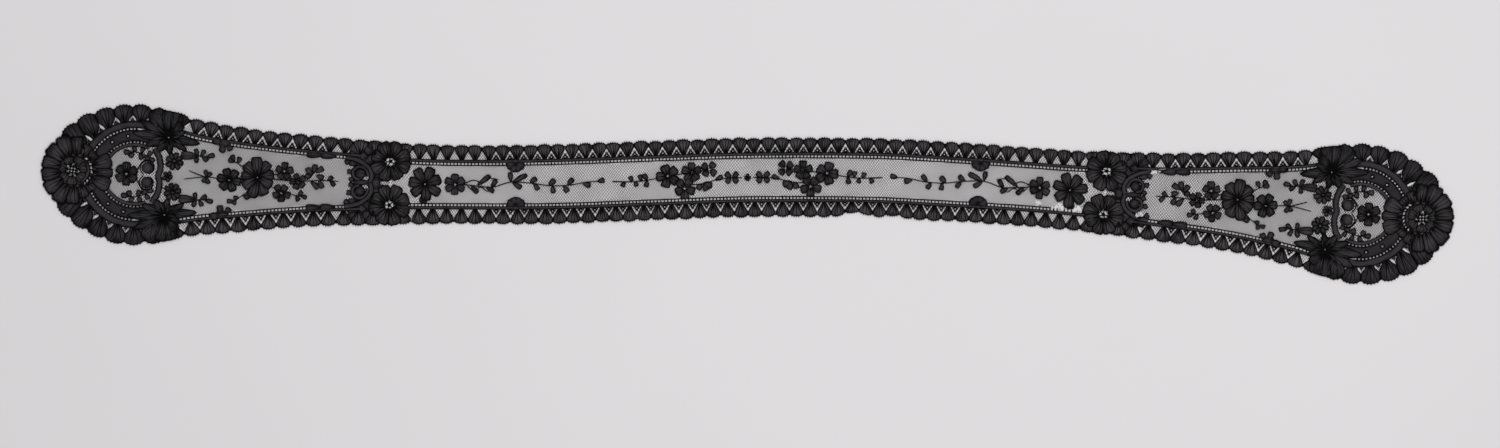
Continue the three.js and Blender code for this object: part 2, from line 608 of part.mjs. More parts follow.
// ---- The eyelet rails ----
function addRails() {
  const back = (outline) => onSide(outline, -1, 1);
  const outer = insetLine(CENTRE_RAIL.from, CENTRE_RAIL.to, RAIL_FROM, CENTRE_RAIL.steps);
  const inner = insetLine(CENTRE_RAIL.from, CENTRE_RAIL.to, RAIL_TO, CENTRE_RAIL.steps);
  const whole = [
    ...back(outer).slice(1).reverse(),
    ...outer,
    ...inner.reverse(),
    ...back(inner).reverse().slice(1),
  ];
  const taperBand = [
    ...insetLine(TAPER_RAIL.from, TAPER_RAIL.to, RAIL_FROM, TAPER_RAIL.steps),
    ...insetLine(TAPER_RAIL.from, TAPER_RAIL.to, RAIL_TO, TAPER_RAIL.steps).reverse(),
  ];
  const taperRail = [taperBand, ...railKnots(TAPER_RAIL)];
  const knots = railKnots(CENTRE_RAIL);
  SIDES.forEach(({ side, name: where }) => {
    const centreRail = [whole, ...knots, ...knots.map(back)];
    addCloth("rail_" + where + "_centre", centreRail.map((o) => onSide(o, 1, side)), RAIL);
    addAtEnds("rail_" + where, taperRail.map((o) => onSide(o, 1, side)), RAIL);
  });
}

// ---- The edging ----
// The feet of the fans of one run, with the net that shows between them.
function fanFeet({ from, to, scallops: count }, first, last) {
  const [start, end] = [lengthAt(from), lengthAt(to)];
  const valleys = Array.from({ length: last - first + 1 }, (_, i) => (first + i) / count);
  return valleys.flatMap((share) => {
    const length = start + (end - start) * share;
    return [
      inset(length - WINDOW.half, FAN_FOOT),
      inset(length, WINDOW.apex),
      inset(length + WINDOW.half, FAN_FOOT),
    ];
  });
}

// The opening at one valley of a head's edge.
function headWindow(valley) {
  const { from, to, scallops: count } = HEAD_RUN;
  const length = lengthAt(from) + ((lengthAt(to) - lengthAt(from)) * valley) / count;
  const { apex, foot, half } = HEAD_WINDOW;
  return [inset(length, apex), inset(length + half, foot), inset(length - half, foot)];
}

function addEdging() {
  const outer = scallopedEdge(-1, CENTRE_EDGING_TO);
  const feet = [
    ...fanFeet(CENTRE_RUN, 0, CENTRE_RUN.scallops - 1).slice(1),
    inset(lengthAt(CENTRE_EDGING_TO), FAN_FOOT),
  ];
  const whole = (line) => [...onSide(line.slice(1), -1, 1).reverse(), ...line];
  const centreEdging = [...whole(outer), ...whole(feet).reverse()];
  const { from, to } = TAPER_EDGING;
  const taperFeet = [
    inset(lengthAt(from), FAN_FOOT),
    ...fanFeet(TAPER_RUN, 1, TAPER_RUN.scallops - 1),
    inset(lengthAt(to), FAN_FOOT),
  ];
  const taperEdging = [...scallopedEdge(from, to), ...taperFeet.reverse()];
  const { band, bandFrom, bandTo, steps } = HEAD_EDGING;
  const arc = Array.from({ length: steps + 1 }, (_, i) =>
    polar(CRESCENT.s, CRESCENT.t, bandFrom + ((bandTo - bandFrom) * i) / steps, band),
  );
  const headEdging = [...scallopedEdge(HEAD_EDGING.from, HEAD_EDGING.to), ...arc];
  const headWindows = HEAD_WINDOW.valleys.map(headWindow);
  SIDES.forEach(({ side, name: where }) => {
    const turned = (outlines) => outlines.map((outline) => onSide(outline, 1, side));
    addCloth("edging_" + where + "_centre", turned([centreEdging]), EDGING);
    addAtEnds("edging_" + where, turned([taperEdging]), EDGING);
    addAtEnds("head_edging_" + where, turned([headEdging]), EDGING, CLOTH_THICK, turned(headWindows));
  });
}

addNet();
addMotifs();
addRails();
addEdging();

export default lappet;
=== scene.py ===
"""A black silk bobbin-lace lappet laid flat on a pale sheet, with its light and camera.

The lappet is drawn straight first, in millimetres: s runs from the middle of the strip to the tip
of a head and t across it. Each piece is mirrored into both ends and both sides, and its mesh is
then laid down on the slight bow in which the strip lies.
"""
import logging
import math
import random
from bisect import bisect_left
from dataclasses import dataclass, field
from enum import Enum, IntEnum
from typing import Callable, NamedTuple

import bmesh
import bpy
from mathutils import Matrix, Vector

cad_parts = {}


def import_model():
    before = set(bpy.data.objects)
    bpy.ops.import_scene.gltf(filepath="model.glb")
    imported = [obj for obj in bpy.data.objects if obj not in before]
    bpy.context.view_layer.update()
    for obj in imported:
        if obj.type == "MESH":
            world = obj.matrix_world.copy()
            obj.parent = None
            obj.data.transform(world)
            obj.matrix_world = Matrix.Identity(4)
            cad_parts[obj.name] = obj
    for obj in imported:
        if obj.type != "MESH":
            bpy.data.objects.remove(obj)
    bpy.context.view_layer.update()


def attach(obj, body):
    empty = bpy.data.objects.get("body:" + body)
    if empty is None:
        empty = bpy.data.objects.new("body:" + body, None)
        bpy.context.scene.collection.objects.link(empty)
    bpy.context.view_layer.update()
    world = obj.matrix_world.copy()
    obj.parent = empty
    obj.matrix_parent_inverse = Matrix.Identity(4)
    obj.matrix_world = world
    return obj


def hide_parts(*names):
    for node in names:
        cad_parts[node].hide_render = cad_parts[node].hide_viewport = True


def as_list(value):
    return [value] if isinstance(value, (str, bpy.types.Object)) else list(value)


LOG = logging.getLogger("lappet")
MM = 0.001  # metres in a millimetre
CM = 0.1  # centimetres in a millimetre, for the grain of the cloth
BODY = "root"
Point = tuple[float, float]
Line = list[Point]
Colour = tuple[float, float, float]


class End(Enum):
    """The two ends of the strip."""

    LEFT = -1
    RIGHT = 1


class Side(Enum):
    """The two long sides of the strip."""

    UPPER = 1
    LOWER = -1


class Slot(Enum):
    """The record's material slots."""

    NET = "net"
    EDGING = "edging"
    CLOTHWORK = "clothwork"
    BRAID = "braid"


class Finish(IntEnum):
    """The finishes of a piece, in the order of its material slots."""

    CLOTH = 0
    CORD = 1
    PLAIN = 2


class Level:
    """The heights of the layers above the lowest thread, in millimetres."""

    NET = 0.26
    CLOTH = 0.5
    MOTIF = 0.75
    ROSE = 1.0


# ---------------------------------------------------------------- rows of the tables


class Petal(NamedTuple):
    """One petal: its direction, how far it reaches, its width, and whether its tip is pointed."""

    angle: float
    to: float
    wide: float
    pointed: bool = False


class Leaf(NamedTuple):
    """One leaf: the place of its foot on the stem, its direction, length and width."""

    s: float
    t: float
    angle: float
    long: float
    wide: float


class Bloom(NamedTuple):
    """A flower whose petals are all alike."""

    s: float
    t: float
    petals: int
    to: float
    wide: float
    turn: float = 0.0
    eye: float = 1.05


class Run(NamedTuple):
    """A stretch of the scalloped edge."""

    start: float
    stop: float
    scallops: int
    depth: float


class Rip(NamedTuple):
    """A hole torn in the worn lace of the right end."""

    s: float
    t: float
    long: float
    wide: float


class Thread(NamedTuple):
    """A thread laid along a line at one height, with its radius at the start and the end."""

    points: list[Point]
    height: float
    radius: float
    end_radius: float


class Wave(NamedTuple):
    """A small wave over the lace: its height, its turns to a millimetre each way, and its phase."""

    height: float
    along: float
    across: float
    phase: float = 0.0


class PetalWork(NamedTuple):
    """How a petal of one size is worked.

    It holds the points of its outline, the depth of the scallops round its tip, and half the
    width of its outline thread and of its ribs.
    """

    steps: int
    ripple: float
    rim: float
    rib: float


LARGE_PETAL = PetalWork(24, 0.35, 0.64, 0.54)
SMALL_PETAL = PetalWork(12, 0.0, 0.46, 0.4)
LARGE_FROM = 9.0  # the length of cloth, in millimetres, past which a petal is a large one


# ---------------------------------------------------------------- plane geometry


def polar(s: float, t: float, angle: float, reach: float) -> Point:
    """The point at a distance and direction, in degrees, from (s, t)."""
    turn = math.radians(angle)
    return s + reach * math.cos(turn), t + reach * math.sin(turn)


def mix(a: Point, b: Point, share: float) -> Point:
    """The point a share of the way from a to b."""
    return a[0] + share * (b[0] - a[0]), a[1] + share * (b[1] - a[1])


def arc(s: float, t: float, radius: float, start: float, stop: float, steps: int) -> Line:
    """An arc about (s, t) between two directions in degrees."""
    return [polar(s, t, start + (stop - start) * i / steps, radius) for i in range(steps + 1)]


def height_of(waves: tuple[Wave, ...], s: float, t: float) -> float:
    """The height of some waves together at a place."""
    return sum(wave.height * math.sin(wave.along * s + wave.across * t + wave.phase) for wave in waves)


def smooth_line(points: Line, per_span: int = 5) -> Line:
    """A smooth line through the points.

    Args:
        points: Where the line goes.
        per_span: Steps between two of them.

    Returns:
        The points of the line.
    """
    ends = [points[0], *points, points[-1]]
    line: Line = []
    for before, a, b, after in zip(ends, ends[1:], ends[2:], ends[3:]):
        for step in range(per_span):
            f = step / per_span
            place = []
            for p, q, r, u in zip(before, a, b, after):
                bend = (2 * p - 5 * q + 4 * r - u) * f * f + (3 * q - p - 3 * r + u) * f**3
                place.append(0.5 * (2 * q + (r - p) * f + bend))
            line.append((place[0], place[1]))
    return [*line, points[-1]]


def beside(line: Line, offset: float) -> Line:
    """A line at an even distance to the left of another.

    Args:
        line: The line to follow.
        offset: How far to its left the new line runs.

    Returns:
        The new line, with as many points.
    """
    moved = []
    for i, (s, t) in enumerate(line):
        a, b = line[max(i - 1, 0)], line[min(i + 1, len(line) - 1)]
        long = math.dist(a, b)
        moved.append((s - offset * (b[1] - a[1]) / long, t + offset * (b[0] - a[0]) / long))
    return moved


def petal_outline(
    s: float, t: float, petal: Petal, foot: float, steps: int, ripple: float = 0.0
) -> Line:
    """The outline of a petal, from its foot round its tip.

    Args:
        s: The flower's centre along the strip.
        t: The flower's centre across it.
        petal: The petal.
        foot: How far from the centre it starts.
        steps: The number of points.
        ripple: The depth of the small scallops round its tip.

    Returns:
        The outline.
    """
    outline = []
    for i in range(steps):
        turn = 2 * math.pi * i / steps
        along = 0.5 * (1 - math.cos(turn))
        tip = math.exp(-(((turn - math.pi) / 0.45) ** 2))
        fullness = 1.12 - 0.3 * along if petal.pointed else 0.6 + 0.6 * along
        reach = foot + (petal.to - foot) * (along + (0.08 if petal.pointed else -0.06) * tip)
        reach -= ripple * (i % 2) * along * along
        swell = math.copysign(abs(math.sin(turn)) ** 0.8, math.sin(turn))
        middle = polar(s, t, petal.angle, reach)
        outline.append(polar(*middle, petal.angle + 90, 0.5 * petal.wide * swell * fullness))
    return outline


# ---------------------------------------------------------------- the strip's shape


@dataclass
class Strip:
    """The straight lappet's edge, and the lie of the strip on the table.

    The edge runs through the scallops' peaks, from the middle of the strip to the tip of a head.
    The bow is the laid middle line, whose ends turn a little opposite ways. A row of rolled says
    where the lower edge is drawn in, over what length and how far.
    """

    tip: float = 565.5
    edge: tuple[Point, ...] = (
        (0, 31.8), (130, 32), (262, 32), (290, 33.5), (345, 36.5), (400, 41.5), (440, 46.8),
        (468, 53.5), (495, 56.5), (522, 50.5), (545, 36.5), (560, 19), (565.5, 0),
    )
    bow: tuple[Point, ...] = (
        (-566, 21.4), (-495, 16.4), (-420, 12.4), (-342, 10.6), (-246, 8.1), (-160, 8.3),
        (-73, 11.3), (0, 13.6), (100, 13.3), (157, 10.5), (215, 6.8), (272, 2.4), (330, -2),
        (388, -5.8), (445, -11.4), (503, -16.4), (566, -21),
    )
    rolled: tuple[tuple[float, float, float], ...] = ((87, 13, 3.4), (118, 10, 1.8))
    roll_from: float = 18.0
    roll_over: float = 14.0
    lift: float = 0.27
    waves: tuple[Wave, ...] = (Wave(0.13, 0.031, 0.05), Wave(0.13, 0.083, -0.11, 1.0))
    centre: Run = Run(0, 268, 24, 2.1)
    joint: Run = Run(268, 304, 3, 1.8)
    taper: Run = Run(304, 447, 12, 2.4)
    head: Run = Run(447, 565.5, 9, 3.0)
    rips: tuple[Rip, ...] = (
        Rip(233.6, -13, 4.8, 4), Rip(251, -13.8, 6, 4.6), Rip(265, -14.6, 6.4, 5),
        Rip(268.6, -26, 4.8, 5), Rip(304.6, -22.4, 7, 6.4), Rip(314, -16.6, 5.2, 4.2),
        Rip(315, -26.2, 6, 7.4), Rip(322, 19.8, 6, 4.2), Rip(330, 20.4, 5, 4),
    )
    samples: int = 70
    line: Line = field(default_factory=list)
    lengths: list[float] = field(default_factory=list)

    def __post_init__(self) -> None:
        """Walks the edge once and keeps its running length."""
        points = [*self.edge, *((s, -t) for s, t in reversed(self.edge[:-1]))]
        for i in range(len(self.edge) - 1):
            for step in range(self.samples):
                self._reach(self._spline(points, i, step / self.samples))
        self._reach(self.edge[-1])

    def _reach(self, place: Point) -> None:
        """Adds a point to the walked edge.

        Args:
            place: The point.
        """
        far = self.lengths[-1] + math.dist(place, self.line[-1]) if self.line else 0.0
        self.line.append(place)
        self.lengths.append(far)

    @staticmethod
    def _spline(points: Line, i: int, f: float) -> Point:
        """A point of the centripetal curve through the points.

        Args:
            points: The points of the curve.
            i: The point before.
            f: The share of the way to the next.

        Returns:
            The point.
        """
        p1, p2, p3 = points[i : i + 3]
        p0 = points[i - 1] if i else mix(p2, p1, 2.0)
        d0, d1, d2 = (math.sqrt(math.dist(a, b)) for a, b in ((p0, p1), (p1, p2), (p2, p3)))
        place = []
        for a, b, c, d in zip(p0, p1, p2, p3):
            m1 = ((b - a) / d0 - (c - a) / (d0 + d1) + (c - b) / d1) * d1
            m2 = ((c - b) / d1 - (d - b) / (d1 + d2) + (d - c) / d2) * d1
            bend = (2 * b - 2 * c + m1 + m2) * f**3 + (-3 * b + 3 * c - 2 * m1 - m2) * f**2
            place.append(bend + m1 * f + b)
        return place[0], place[1]

    def length_at(self, s: float) -> float:
        """The running length at which the edge reaches a distance from the middle.

        Args:
            s: The distance.

        Returns:
            The running length.
        """
        i = min(max(bisect_left(self.line, (s, -1.0)), 1), len(self.line) - 1)
        a, b = self.line[i - 1], self.line[i]
        step = self.lengths[i] - self.lengths[i - 1]
        return self.lengths[i - 1] + (s - a[0]) / (b[0] - a[0]) * step

    def inset(self, x: float, depth: float) -> Point:
        """The point a given depth in from the edge.

        Args:
            x: The running length from the middle, which is negative towards the left end.
            depth: How far in from the scallops' peaks.

        Returns:
            The point.
        """
        length = abs(x)
        i = min(max(bisect_left(self.lengths, length), 1), len(self.line) - 1)
        a, b = self.line[i - 1], self.line[i]
        s, t = mix(a, b, (length - self.lengths[i - 1]) / (self.lengths[i] - self.lengths[i - 1]))
        long = math.dist(a, b)
        s += depth * (b[1] - a[1]) / long
        return math.copysign(1, x) * s, t - depth * (b[0] - a[0]) / long

    def half_width(self, s: float) -> float:
        """Half the strip's width at a distance s from the middle, through the scallops' peaks."""
        return self.inset(self.length_at(min(abs(s), self.tip - 0.01)), 0)[1]

    def valley(self, run: Run, number: float) -> float:
        """The running length at a valley of a run, or part of the way to the next."""
        start, stop = self.length_at(run.start), self.length_at(run.stop)
        return start + (stop - start) * number / run.scallops

    def torn(self, s: float, t: float) -> bool:
        """Whether a place is inside a hole in the worn lace.

        Args:
            s: Its distance along the strip.
            t: Its distance across it.

        Returns:
            Whether the lace is torn away there.
        """
        for rip in self.rips:
            x, y = (s - rip.s) / (0.5 * rip.long), (t - rip.t) / (0.5 * rip.wide)
            if x * x + y * y < 1 + 0.2 * math.sin(3 * math.atan2(y, x) + rip.s):
                return True
        return False

    def bend(self, s: float) -> tuple[float, float]:
        """How far the laid middle line is from the X axis at s, and its slope.

        Args:
            s: The distance along the strip, negative towards the left end.

        Returns:
            The distance and the slope.
        """
        rows = self.bow
        i = min(max(bisect_left(rows, (s,)), 1), len(rows) - 1)

        def slope(k: int) -> float:
            """The slope at row k."""
            a, b = rows[max(k - 1, 0)], rows[min(k + 1, len(rows) - 1)]
            return (b[1] - a[1]) / (b[0] - a[0])

        (s0, y0), (s1, y1) = rows[i - 1], rows[i]
        wide = s1 - s0
        f = (s - s0) / wide
        m, n = slope(i - 1) * wide, slope(i) * wide
        y = (2 * f**3 - 3 * f**2 + 1) * y0 + (f**3 - 2 * f**2 + f) * m
        y += (3 * f**2 - 2 * f**3) * y1 + (f**3 - f**2) * n
        dy = (6 * f**2 - 6 * f) * (y0 - y1) + (3 * f**2 - 4 * f + 1) * m + (3 * f**2 - 2 * f) * n
        return y, dy / wide

    def lay(self, place: Vector) -> Vector:
        """Lays a point of the straight lappet down in the frame.

        Args:
            place: The point, in millimetres.

        Returns:
            The laid point, in metres.
        """
        s, t, z = place
        share = min(max((-t - self.roll_from) / self.roll_over, 0.0), 1.0)
        t += sum(by * share * math.exp(-(((s - at) / long) ** 2)) for at, long, by in self.rolled)
        y, slope = self.bend(s)
        turn = math.atan(slope)
        z += self.lift + height_of(self.waves, s, t)
        return Vector((s - t * math.sin(turn), y + t * math.cos(turn), z)) * MM


# ---------------------------------------------------------------- finishes


class Recipe:
    """A new material, whose nodes are added and joined round its main shader."""

    def __init__(self, name: str, roughness: float, shine: float) -> None:
        """Starts the material.

        Args:
            name: Its name.
            roughness: The roughness of its shader.
            shine: The specular level of its shader.
        """
        self.material = bpy.data.materials.new(name)
        self.material.use_nodes = True
        self.tree = self.material.node_tree
        self.shader = self.tree.nodes["Principled BSDF"]
        self.shader.inputs["Roughness"].default_value = roughness
        self.shader.inputs["Specular IOR Level"].default_value = shine

    def add(self, kind: str, **inputs: float | tuple[float, ...]) -> bpy.types.Node:
        """Adds a node.

        Args:
            kind: The end of its type's name, after ShaderNode.
            inputs: The values of its inputs.

        Returns:
            The node.
        """
        node = self.tree.nodes.new("ShaderNode" + kind)
        for name, value in inputs.items():
            node.inputs[name].default_value = value
        return node

    def join(self, source: bpy.types.NodeSocket, *targets: bpy.types.NodeSocket) -> None:
        """Joins an output to some inputs.

        Args:
            source: The output.
            targets: The inputs.
        """
        for target in targets:
            self.tree.links.new(source, target)

    def reckon(self, operation: str, *terms: bpy.types.NodeSocket | float) -> bpy.types.NodeSocket:
        """Adds a step of arithmetic.

        Args:
            operation: What it does with its terms.
            terms: Each is an output to read, or a number.

        Returns:
            Its result.
        """
        node = self.add("Math")
        node.operation = operation
        for socket, term in zip(node.inputs, terms):
            if isinstance(term, float):
                socket.default_value = term
            else:
                self.join(term, socket)
        return node.outputs["Value"]

    def colour(self, share: bpy.types.NodeSocket, dark: Colour, light: Colour, span: Point) -> None:
        """Colours the shader.

        Args:
            share: Says where between the two colours it is.
            dark: The first colour.
            light: The last colour.
            span: The shares at which it leaves the first and reaches the last.
        """
        ramp = self.add("ValToRGB")
        for stop, position, colour in zip(ramp.color_ramp.elements, span, (dark, light)):
            stop.position = position
            stop.color = (*colour, 1)
        self.join(share, ramp.inputs["Fac"])
        self.join(ramp.outputs["Color"], self.shader.inputs["Base Color"])

    def relief(self, height: bpy.types.NodeSocket, strength: float, depth: float) -> None:
        """Raises the fine threads of the surface.

        Args:
            height: Says how high it is.
            strength: How much of the relief shows.
            depth: Its depth, in metres.
        """
        bump = self.add("Bump", Strength=strength, Distance=depth)
        self.join(height, bump.inputs["Height"])
        self.join(bump.outputs["Normal"], self.shader.inputs["Normal"])


@dataclass(frozen=True)
class SilkThread:
    """A twisted black silk thread."""

    name: str
    colour: Colour
    twist: float = 900.0
    roughness: float = 0.55
    shine: float = 0.035
    wear: float = 2.2

    def make(self) -> bpy.types.Material:
        """Makes the material.

        Returns:
            The material, which is paler where the silk is worn.
        """
        recipe = Recipe(self.name, self.roughness, self.shine)
        worn = recipe.add("TexNoise", Scale=140.0, Detail=3.0)
        plies = recipe.add("TexWave", Scale=self.twist, Distortion=2.0)
        plies.bands_direction = "DIAGONAL"
        place = recipe.add("TexCoord").outputs["Object"]
        recipe.join(place, worn.inputs["Vector"], plies.inputs["Vector"])
        pale = tuple(self.wear * part for part in self.colour)
        recipe.colour(worn.outputs["Fac"], self.colour, pale, (0.35, 0.75))
        recipe.relief(plies.outputs["Fac"], 0.4, 0.00008)
        return recipe.material


@dataclass(frozen=True)
class HalfStitch:
    """Close cloth worked in half stitch, whose silk threads run along each petal."""

    name: str
    dark: Colour
    light: Colour
    grain: tuple[float, float, float] = (0.9, 8.0, 1.0)
    weave: float = 5.0
    roughness: float = 0.6
    shine: float = 0.06

    def make(self) -> bpy.types.Material:
        """Makes the material.

        Returns:
            The material, which reads the piece's UV map, in centimetres along and across the
            threads, and its crown attribute, which is 1 in the middle of a plate of cloth.
        """
        recipe = Recipe(self.name, self.roughness, self.shine)
        threads = recipe.add("UVMap")
        threads.uv_map = "grain"
        crown = recipe.add("Attribute")
        crown.attribute_name = "crown"
        stretch = recipe.add("Mapping", Scale=self.grain)
        streaks = recipe.add("TexNoise", Scale=1.0, Detail=3.0)
        mottle = recipe.add("TexNoise", Scale=95.0, Detail=3.0)
        plait = recipe.add("TexVoronoi", Scale=self.weave)
        recipe.join(threads.outputs["UV"], stretch.inputs["Vector"])
        recipe.join(stretch.outputs["Vector"], streaks.inputs["Vector"], plait.inputs["Vector"])
        recipe.join(recipe.add("TexCoord").outputs["Object"], mottle.inputs["Vector"])
        tone = recipe.reckon("MULTIPLY_ADD", crown.outputs["Fac"], 0.5, streaks.outputs["Fac"])
        total = recipe.reckon("ADD", tone, mottle.outputs["Fac"])
        average = recipe.reckon("MULTIPLY", total, 0.5)
        recipe.colour(average, self.dark, self.light, (0.42, 0.7))
        recipe.relief(plait.outputs["Distance"], 0.7, 0.0002)
        return recipe.material


@dataclass(frozen=True)
class Paper:
    """The plain pale sheet under the lace."""

    name: str = "pale_paper"
    colour: Colour = (0.77, 0.755, 0.765)
    shade: float = 0.96

    def make(self) -> bpy.types.Material:
        """Makes the material.

        Returns:
            The material.
        """
        recipe = Recipe(self.name, 0.9, 0.1)
        tone = recipe.add("TexNoise", Scale=3.0)
        recipe.join(recipe.add("TexCoord").outputs["Object"], tone.inputs["Vector"])
        shaded = tuple(self.shade * part for part in self.colour)
        recipe.colour(tone.outputs["Fac"], shaded, self.colour, (0.0, 1.0))
        return recipe.material


class Silk(Enum):
    """The silks of the lappet: those of its threads, and those of its cloth.

    The cloth of the fans is the palest, and that of the crescents the plainest.
    """

    NET = SilkThread("net_silk", (0.006, 0.0055, 0.0062), shine=0.07)
    CORD = SilkThread("outline_silk", (0.0014, 0.0013, 0.0015))
    CLOTH = HalfStitch("half_stitch", (0.003, 0.0028, 0.0031), (0.044, 0.0406, 0.0436))
    DEEP = HalfStitch("deep_stitch", (0.0028, 0.0026, 0.0029), (0.036, 0.0333, 0.0362))
    FAN = HalfStitch("fan_stitch", (0.006, 0.0056, 0.0062), (0.066, 0.061, 0.065))
    PLAIN = HalfStitch("crescent_cloth", (0.0074, 0.007, 0.0077), (0.0246, 0.0229, 0.0251))


@dataclass
class Finishes:
    """The silks' materials, each made when it is first used."""

    made: dict[Silk, bpy.types.Material] = field(default_factory=dict)

    def material(self, silk: Silk) -> bpy.types.Material:
        """The material of one silk.

        Args:
            silk: The silk.

        Returns:
            The material.
        """
        if silk not in self.made:
            self.made[silk] = silk.value.make()
        return self.made[silk]


def into_object(
    bm: bmesh.types.BMesh, name: str, materials: list[bpy.types.Material]
) -> bpy.types.Object:
    """Makes a finished mesh an object of the scene.

    Args:
        bm: The mesh, which is freed.
        name: The object's name.
        materials: Its materials.

    Returns:
        The object.
    """
    mesh = bpy.data.meshes.new(name)
    bm.to_mesh(mesh)
    bm.free()
    for material in materials:
        mesh.materials.append(material)
    made = bpy.data.objects.new(name, mesh)
    bpy.context.scene.collection.objects.link(made)
    return made


# ---------------------------------------------------------------- the lacemaker's stitches


@dataclass
class Work:
    """One piece of lace being made: plates of close cloth, and the threads laid on them.

    Everything is drawn for the right end and the upper side, and mirrored by end and side. The
    corners of a plate's outline stray by up to the wobble, as handwork does.
    """

    name: str
    node: str
    strip: Strip
    finishes: Finishes
    end: int = 1
    side: int = 1
    slot: Slot = Slot.CLOTHWORK
    net_pitch: float = 1.62
    net_slant: float = 51.3
    net_thick: float = 0.125
    wobble: float = 0.16
    plate_thick: float = 0.2
    rim_rise: float = 0.3
    rim_fall: float = 0.2
    band_lift: float = 0.25
    band_swell: float = 0.14
    band_thick: float = 0.22
    threads: list[Thread] = field(default_factory=list)
    bm: bmesh.types.BMesh = field(default_factory=bmesh.new)
    grain: bmesh.types.BMLayerItem = field(init=False)
    crown: bmesh.types.BMLayerItem = field(init=False)
    chance: random.Random = field(init=False)

    def __post_init__(self) -> None:
        """Gives the mesh its UV map and crown attribute, and seeds the hand's unevenness."""
        self.grain = self.bm.loops.layers.uv.new("grain")
        self.crown = self.bm.verts.layers.float.new("crown")
        self.chance = random.Random(self.node)

    def _torn(self, place: Point) -> bool:
        """Whether a place is torn away."""
        return self.strip.torn(self.end * place[0], self.side * place[1])

    def _lay_grain(self, start: bmesh.types.BMVert, angle: float) -> None:
        """Lays the grain of the cloth along a plate.

        Args:
            start: Any corner of the plate.
            angle: The direction of its threads.
        """
        found, queue, faces = {start}, [start], set()
        while queue:
            for face in queue.pop().link_faces:
                if face not in faces:
                    faces.add(face)
                    queue += [vert for vert in face.verts if vert not in found]
                    found.update(face.verts)
        turn, shift = math.radians(angle), self.chance.uniform(0, 50)
        for face in faces:
            for loop in face.loops:
                ds, dt = loop.vert.co.x - start.co.x, loop.vert.co.y - start.co.y
                along = ds * math.cos(turn) + dt * math.sin(turn)
                across = dt * math.cos(turn) - ds * math.sin(turn)
                loop[self.grain].uv = (CM * along + shift, CM * across + shift)

    def plate(
        self,
        outline: Line,
        base: float,
        angle: float = 0.0,
        crown: float = 0.2,
        rim: float = 0.42,
    ) -> None:
        """A plate of close cloth with a thick outline thread round it.

        Args:
            outline: The plate's edge.
            base: The height of its underside.
            angle: The direction of its threads.
            crown: How far the cloth swells in the middle.
            rim: Half the width of the outline thread.
        """
        middle = [sum(axis) / len(outline) for axis in zip(*outline)]
        if self._torn((middle[0], middle[1])):
            return
        bm, wobble = self.bm, self.wobble
        ring = bmesh.ops.create_circle(bm, cap_ends=True, segments=len(outline), radius=1.0)["verts"]
        for vert, (s, t) in zip(ring, outline):
            ds, dt = self.chance.uniform(-wobble, wobble), self.chance.uniform(-wobble, wobble)
            vert.co = (s + ds, t + dt, base)
        cap = next(face for face in ring[0].link_faces if len(face.verts) == len(ring))
        top = bmesh.ops.extrude_face_region(bm, geom=[cap], use_keep_orig=True)["geom"]
        raised = [part for part in top if isinstance(part, bmesh.types.BMVert)]
        bmesh.ops.translate(bm, verts=raised, vec=(0, 0, self.plate_thick))
        face = next(part for part in top if isinstance(part, bmesh.types.BMFace))
        face.normal_update()
        if face.normal.z < 0:
            face.normal_flip()
        rims = []
        for width, depth in ((rim, self.rim_rise), (0.6 * rim, -self.rim_fall)):
            rims += bmesh.ops.inset_region(
                bm, faces=[face], thickness=width, depth=depth, use_even_offset=True
            )["faces"]
        for vert in ring:
            rims += vert.link_faces[:]
        fan = bmesh.ops.poke(bm, faces=[face], offset=crown)
        for part in fan["faces"]:
            part.material_index = Finish.CLOTH
        fan["verts"][0][self.crown] = 1.0
        for part in rims:
            part.material_index = Finish.CORD
        self._lay_grain(ring[0], angle)

    def ribbon(
        self,
        left: Line,
        right: Line,
        base: float,
        finish: Finish = Finish.CLOTH,
        holes: tuple[int, ...] = (),
    ) -> None:
        """A band of close cloth between two lines that have as many points each.

        Args:
            left: One edge.
            right: The other.
            base: The height of its underside.
            finish: The finish of the cloth.
            holes: The spans that are left open in the middle.
        """
        bm, steps = self.bm, len(left) - 1
        made = bmesh.ops.create_grid(bm, x_segments=steps, y_segments=3, size=1.0)["verts"]
        shift, pitch = self.chance.uniform(0, 50), math.dist(left[0], left[1])
        grain: dict[bmesh.types.BMVert, Point] = {}
        inside: dict[bmesh.types.BMVert, int] = {}
        faces = {face for vert in made for face in vert.link_faces}
        for vert in made:
            column, share = round(0.5 * (vert.co.x + 1) * steps), 0.5 * (vert.co.y + 1)
            wide = math.dist(left[column], right[column])
            grain[vert] = (CM * pitch * column + shift, CM * wide * share)
            swell = 0.0 if share in (0.0, 1.0) else math.sin(math.pi * share)
            if swell:
                inside[vert] = column
            height = base + self.band_lift + self.band_swell * swell
            vert.co = (*mix(left[column], right[column], share), height)
            vert[self.crown] = swell
        for face in faces:
            face.material_index = finish
            for loop in face.loops:
                loop[self.grain].uv = grain[loop.vert]

        def opened(face: bmesh.types.BMFace) -> bool:
            """Whether a face is one of the holes, or torn away.

            Args:
                face: The face.

            Returns:
                Whether it goes.
            """
            columns = [inside.get(vert, -1) for vert in face.verts]
            middle = face.calc_center_median()
            return min(columns) in holes or self._torn((middle.x, middle.y))

        bmesh.ops.delete(bm, geom=[face for face in faces if opened(face)], context="FACES")
        bmesh.ops.remove_doubles(bm, verts=[vert for vert in made if vert.is_valid], dist=1e-4)
        kept = {face for vert in made if vert.is_valid for face in vert.link_faces}
        bmesh.ops.solidify(bm, geom=list(kept), thickness=self.band_thick)

    def thread(self, points: Line, height: float, radius: float, tail: float = 1.0) -> None:
        """A thread laid along a line, and broken where the lace is torn.

        Args:
            points: Where it goes.
            height: The height of its middle.
            radius: Its radius at the start.
            tail: The share of that radius that it has at the end.
        """
        whole: Line = []
        for i, place in enumerate(points):
            torn = self._torn(place)
            if not torn:
                whole.append(place)
            if torn or i == len(points) - 1:
                if len(whole) > 1:
                    self.threads.append(Thread(whole, height, radius, tail * radius))
                whole = []

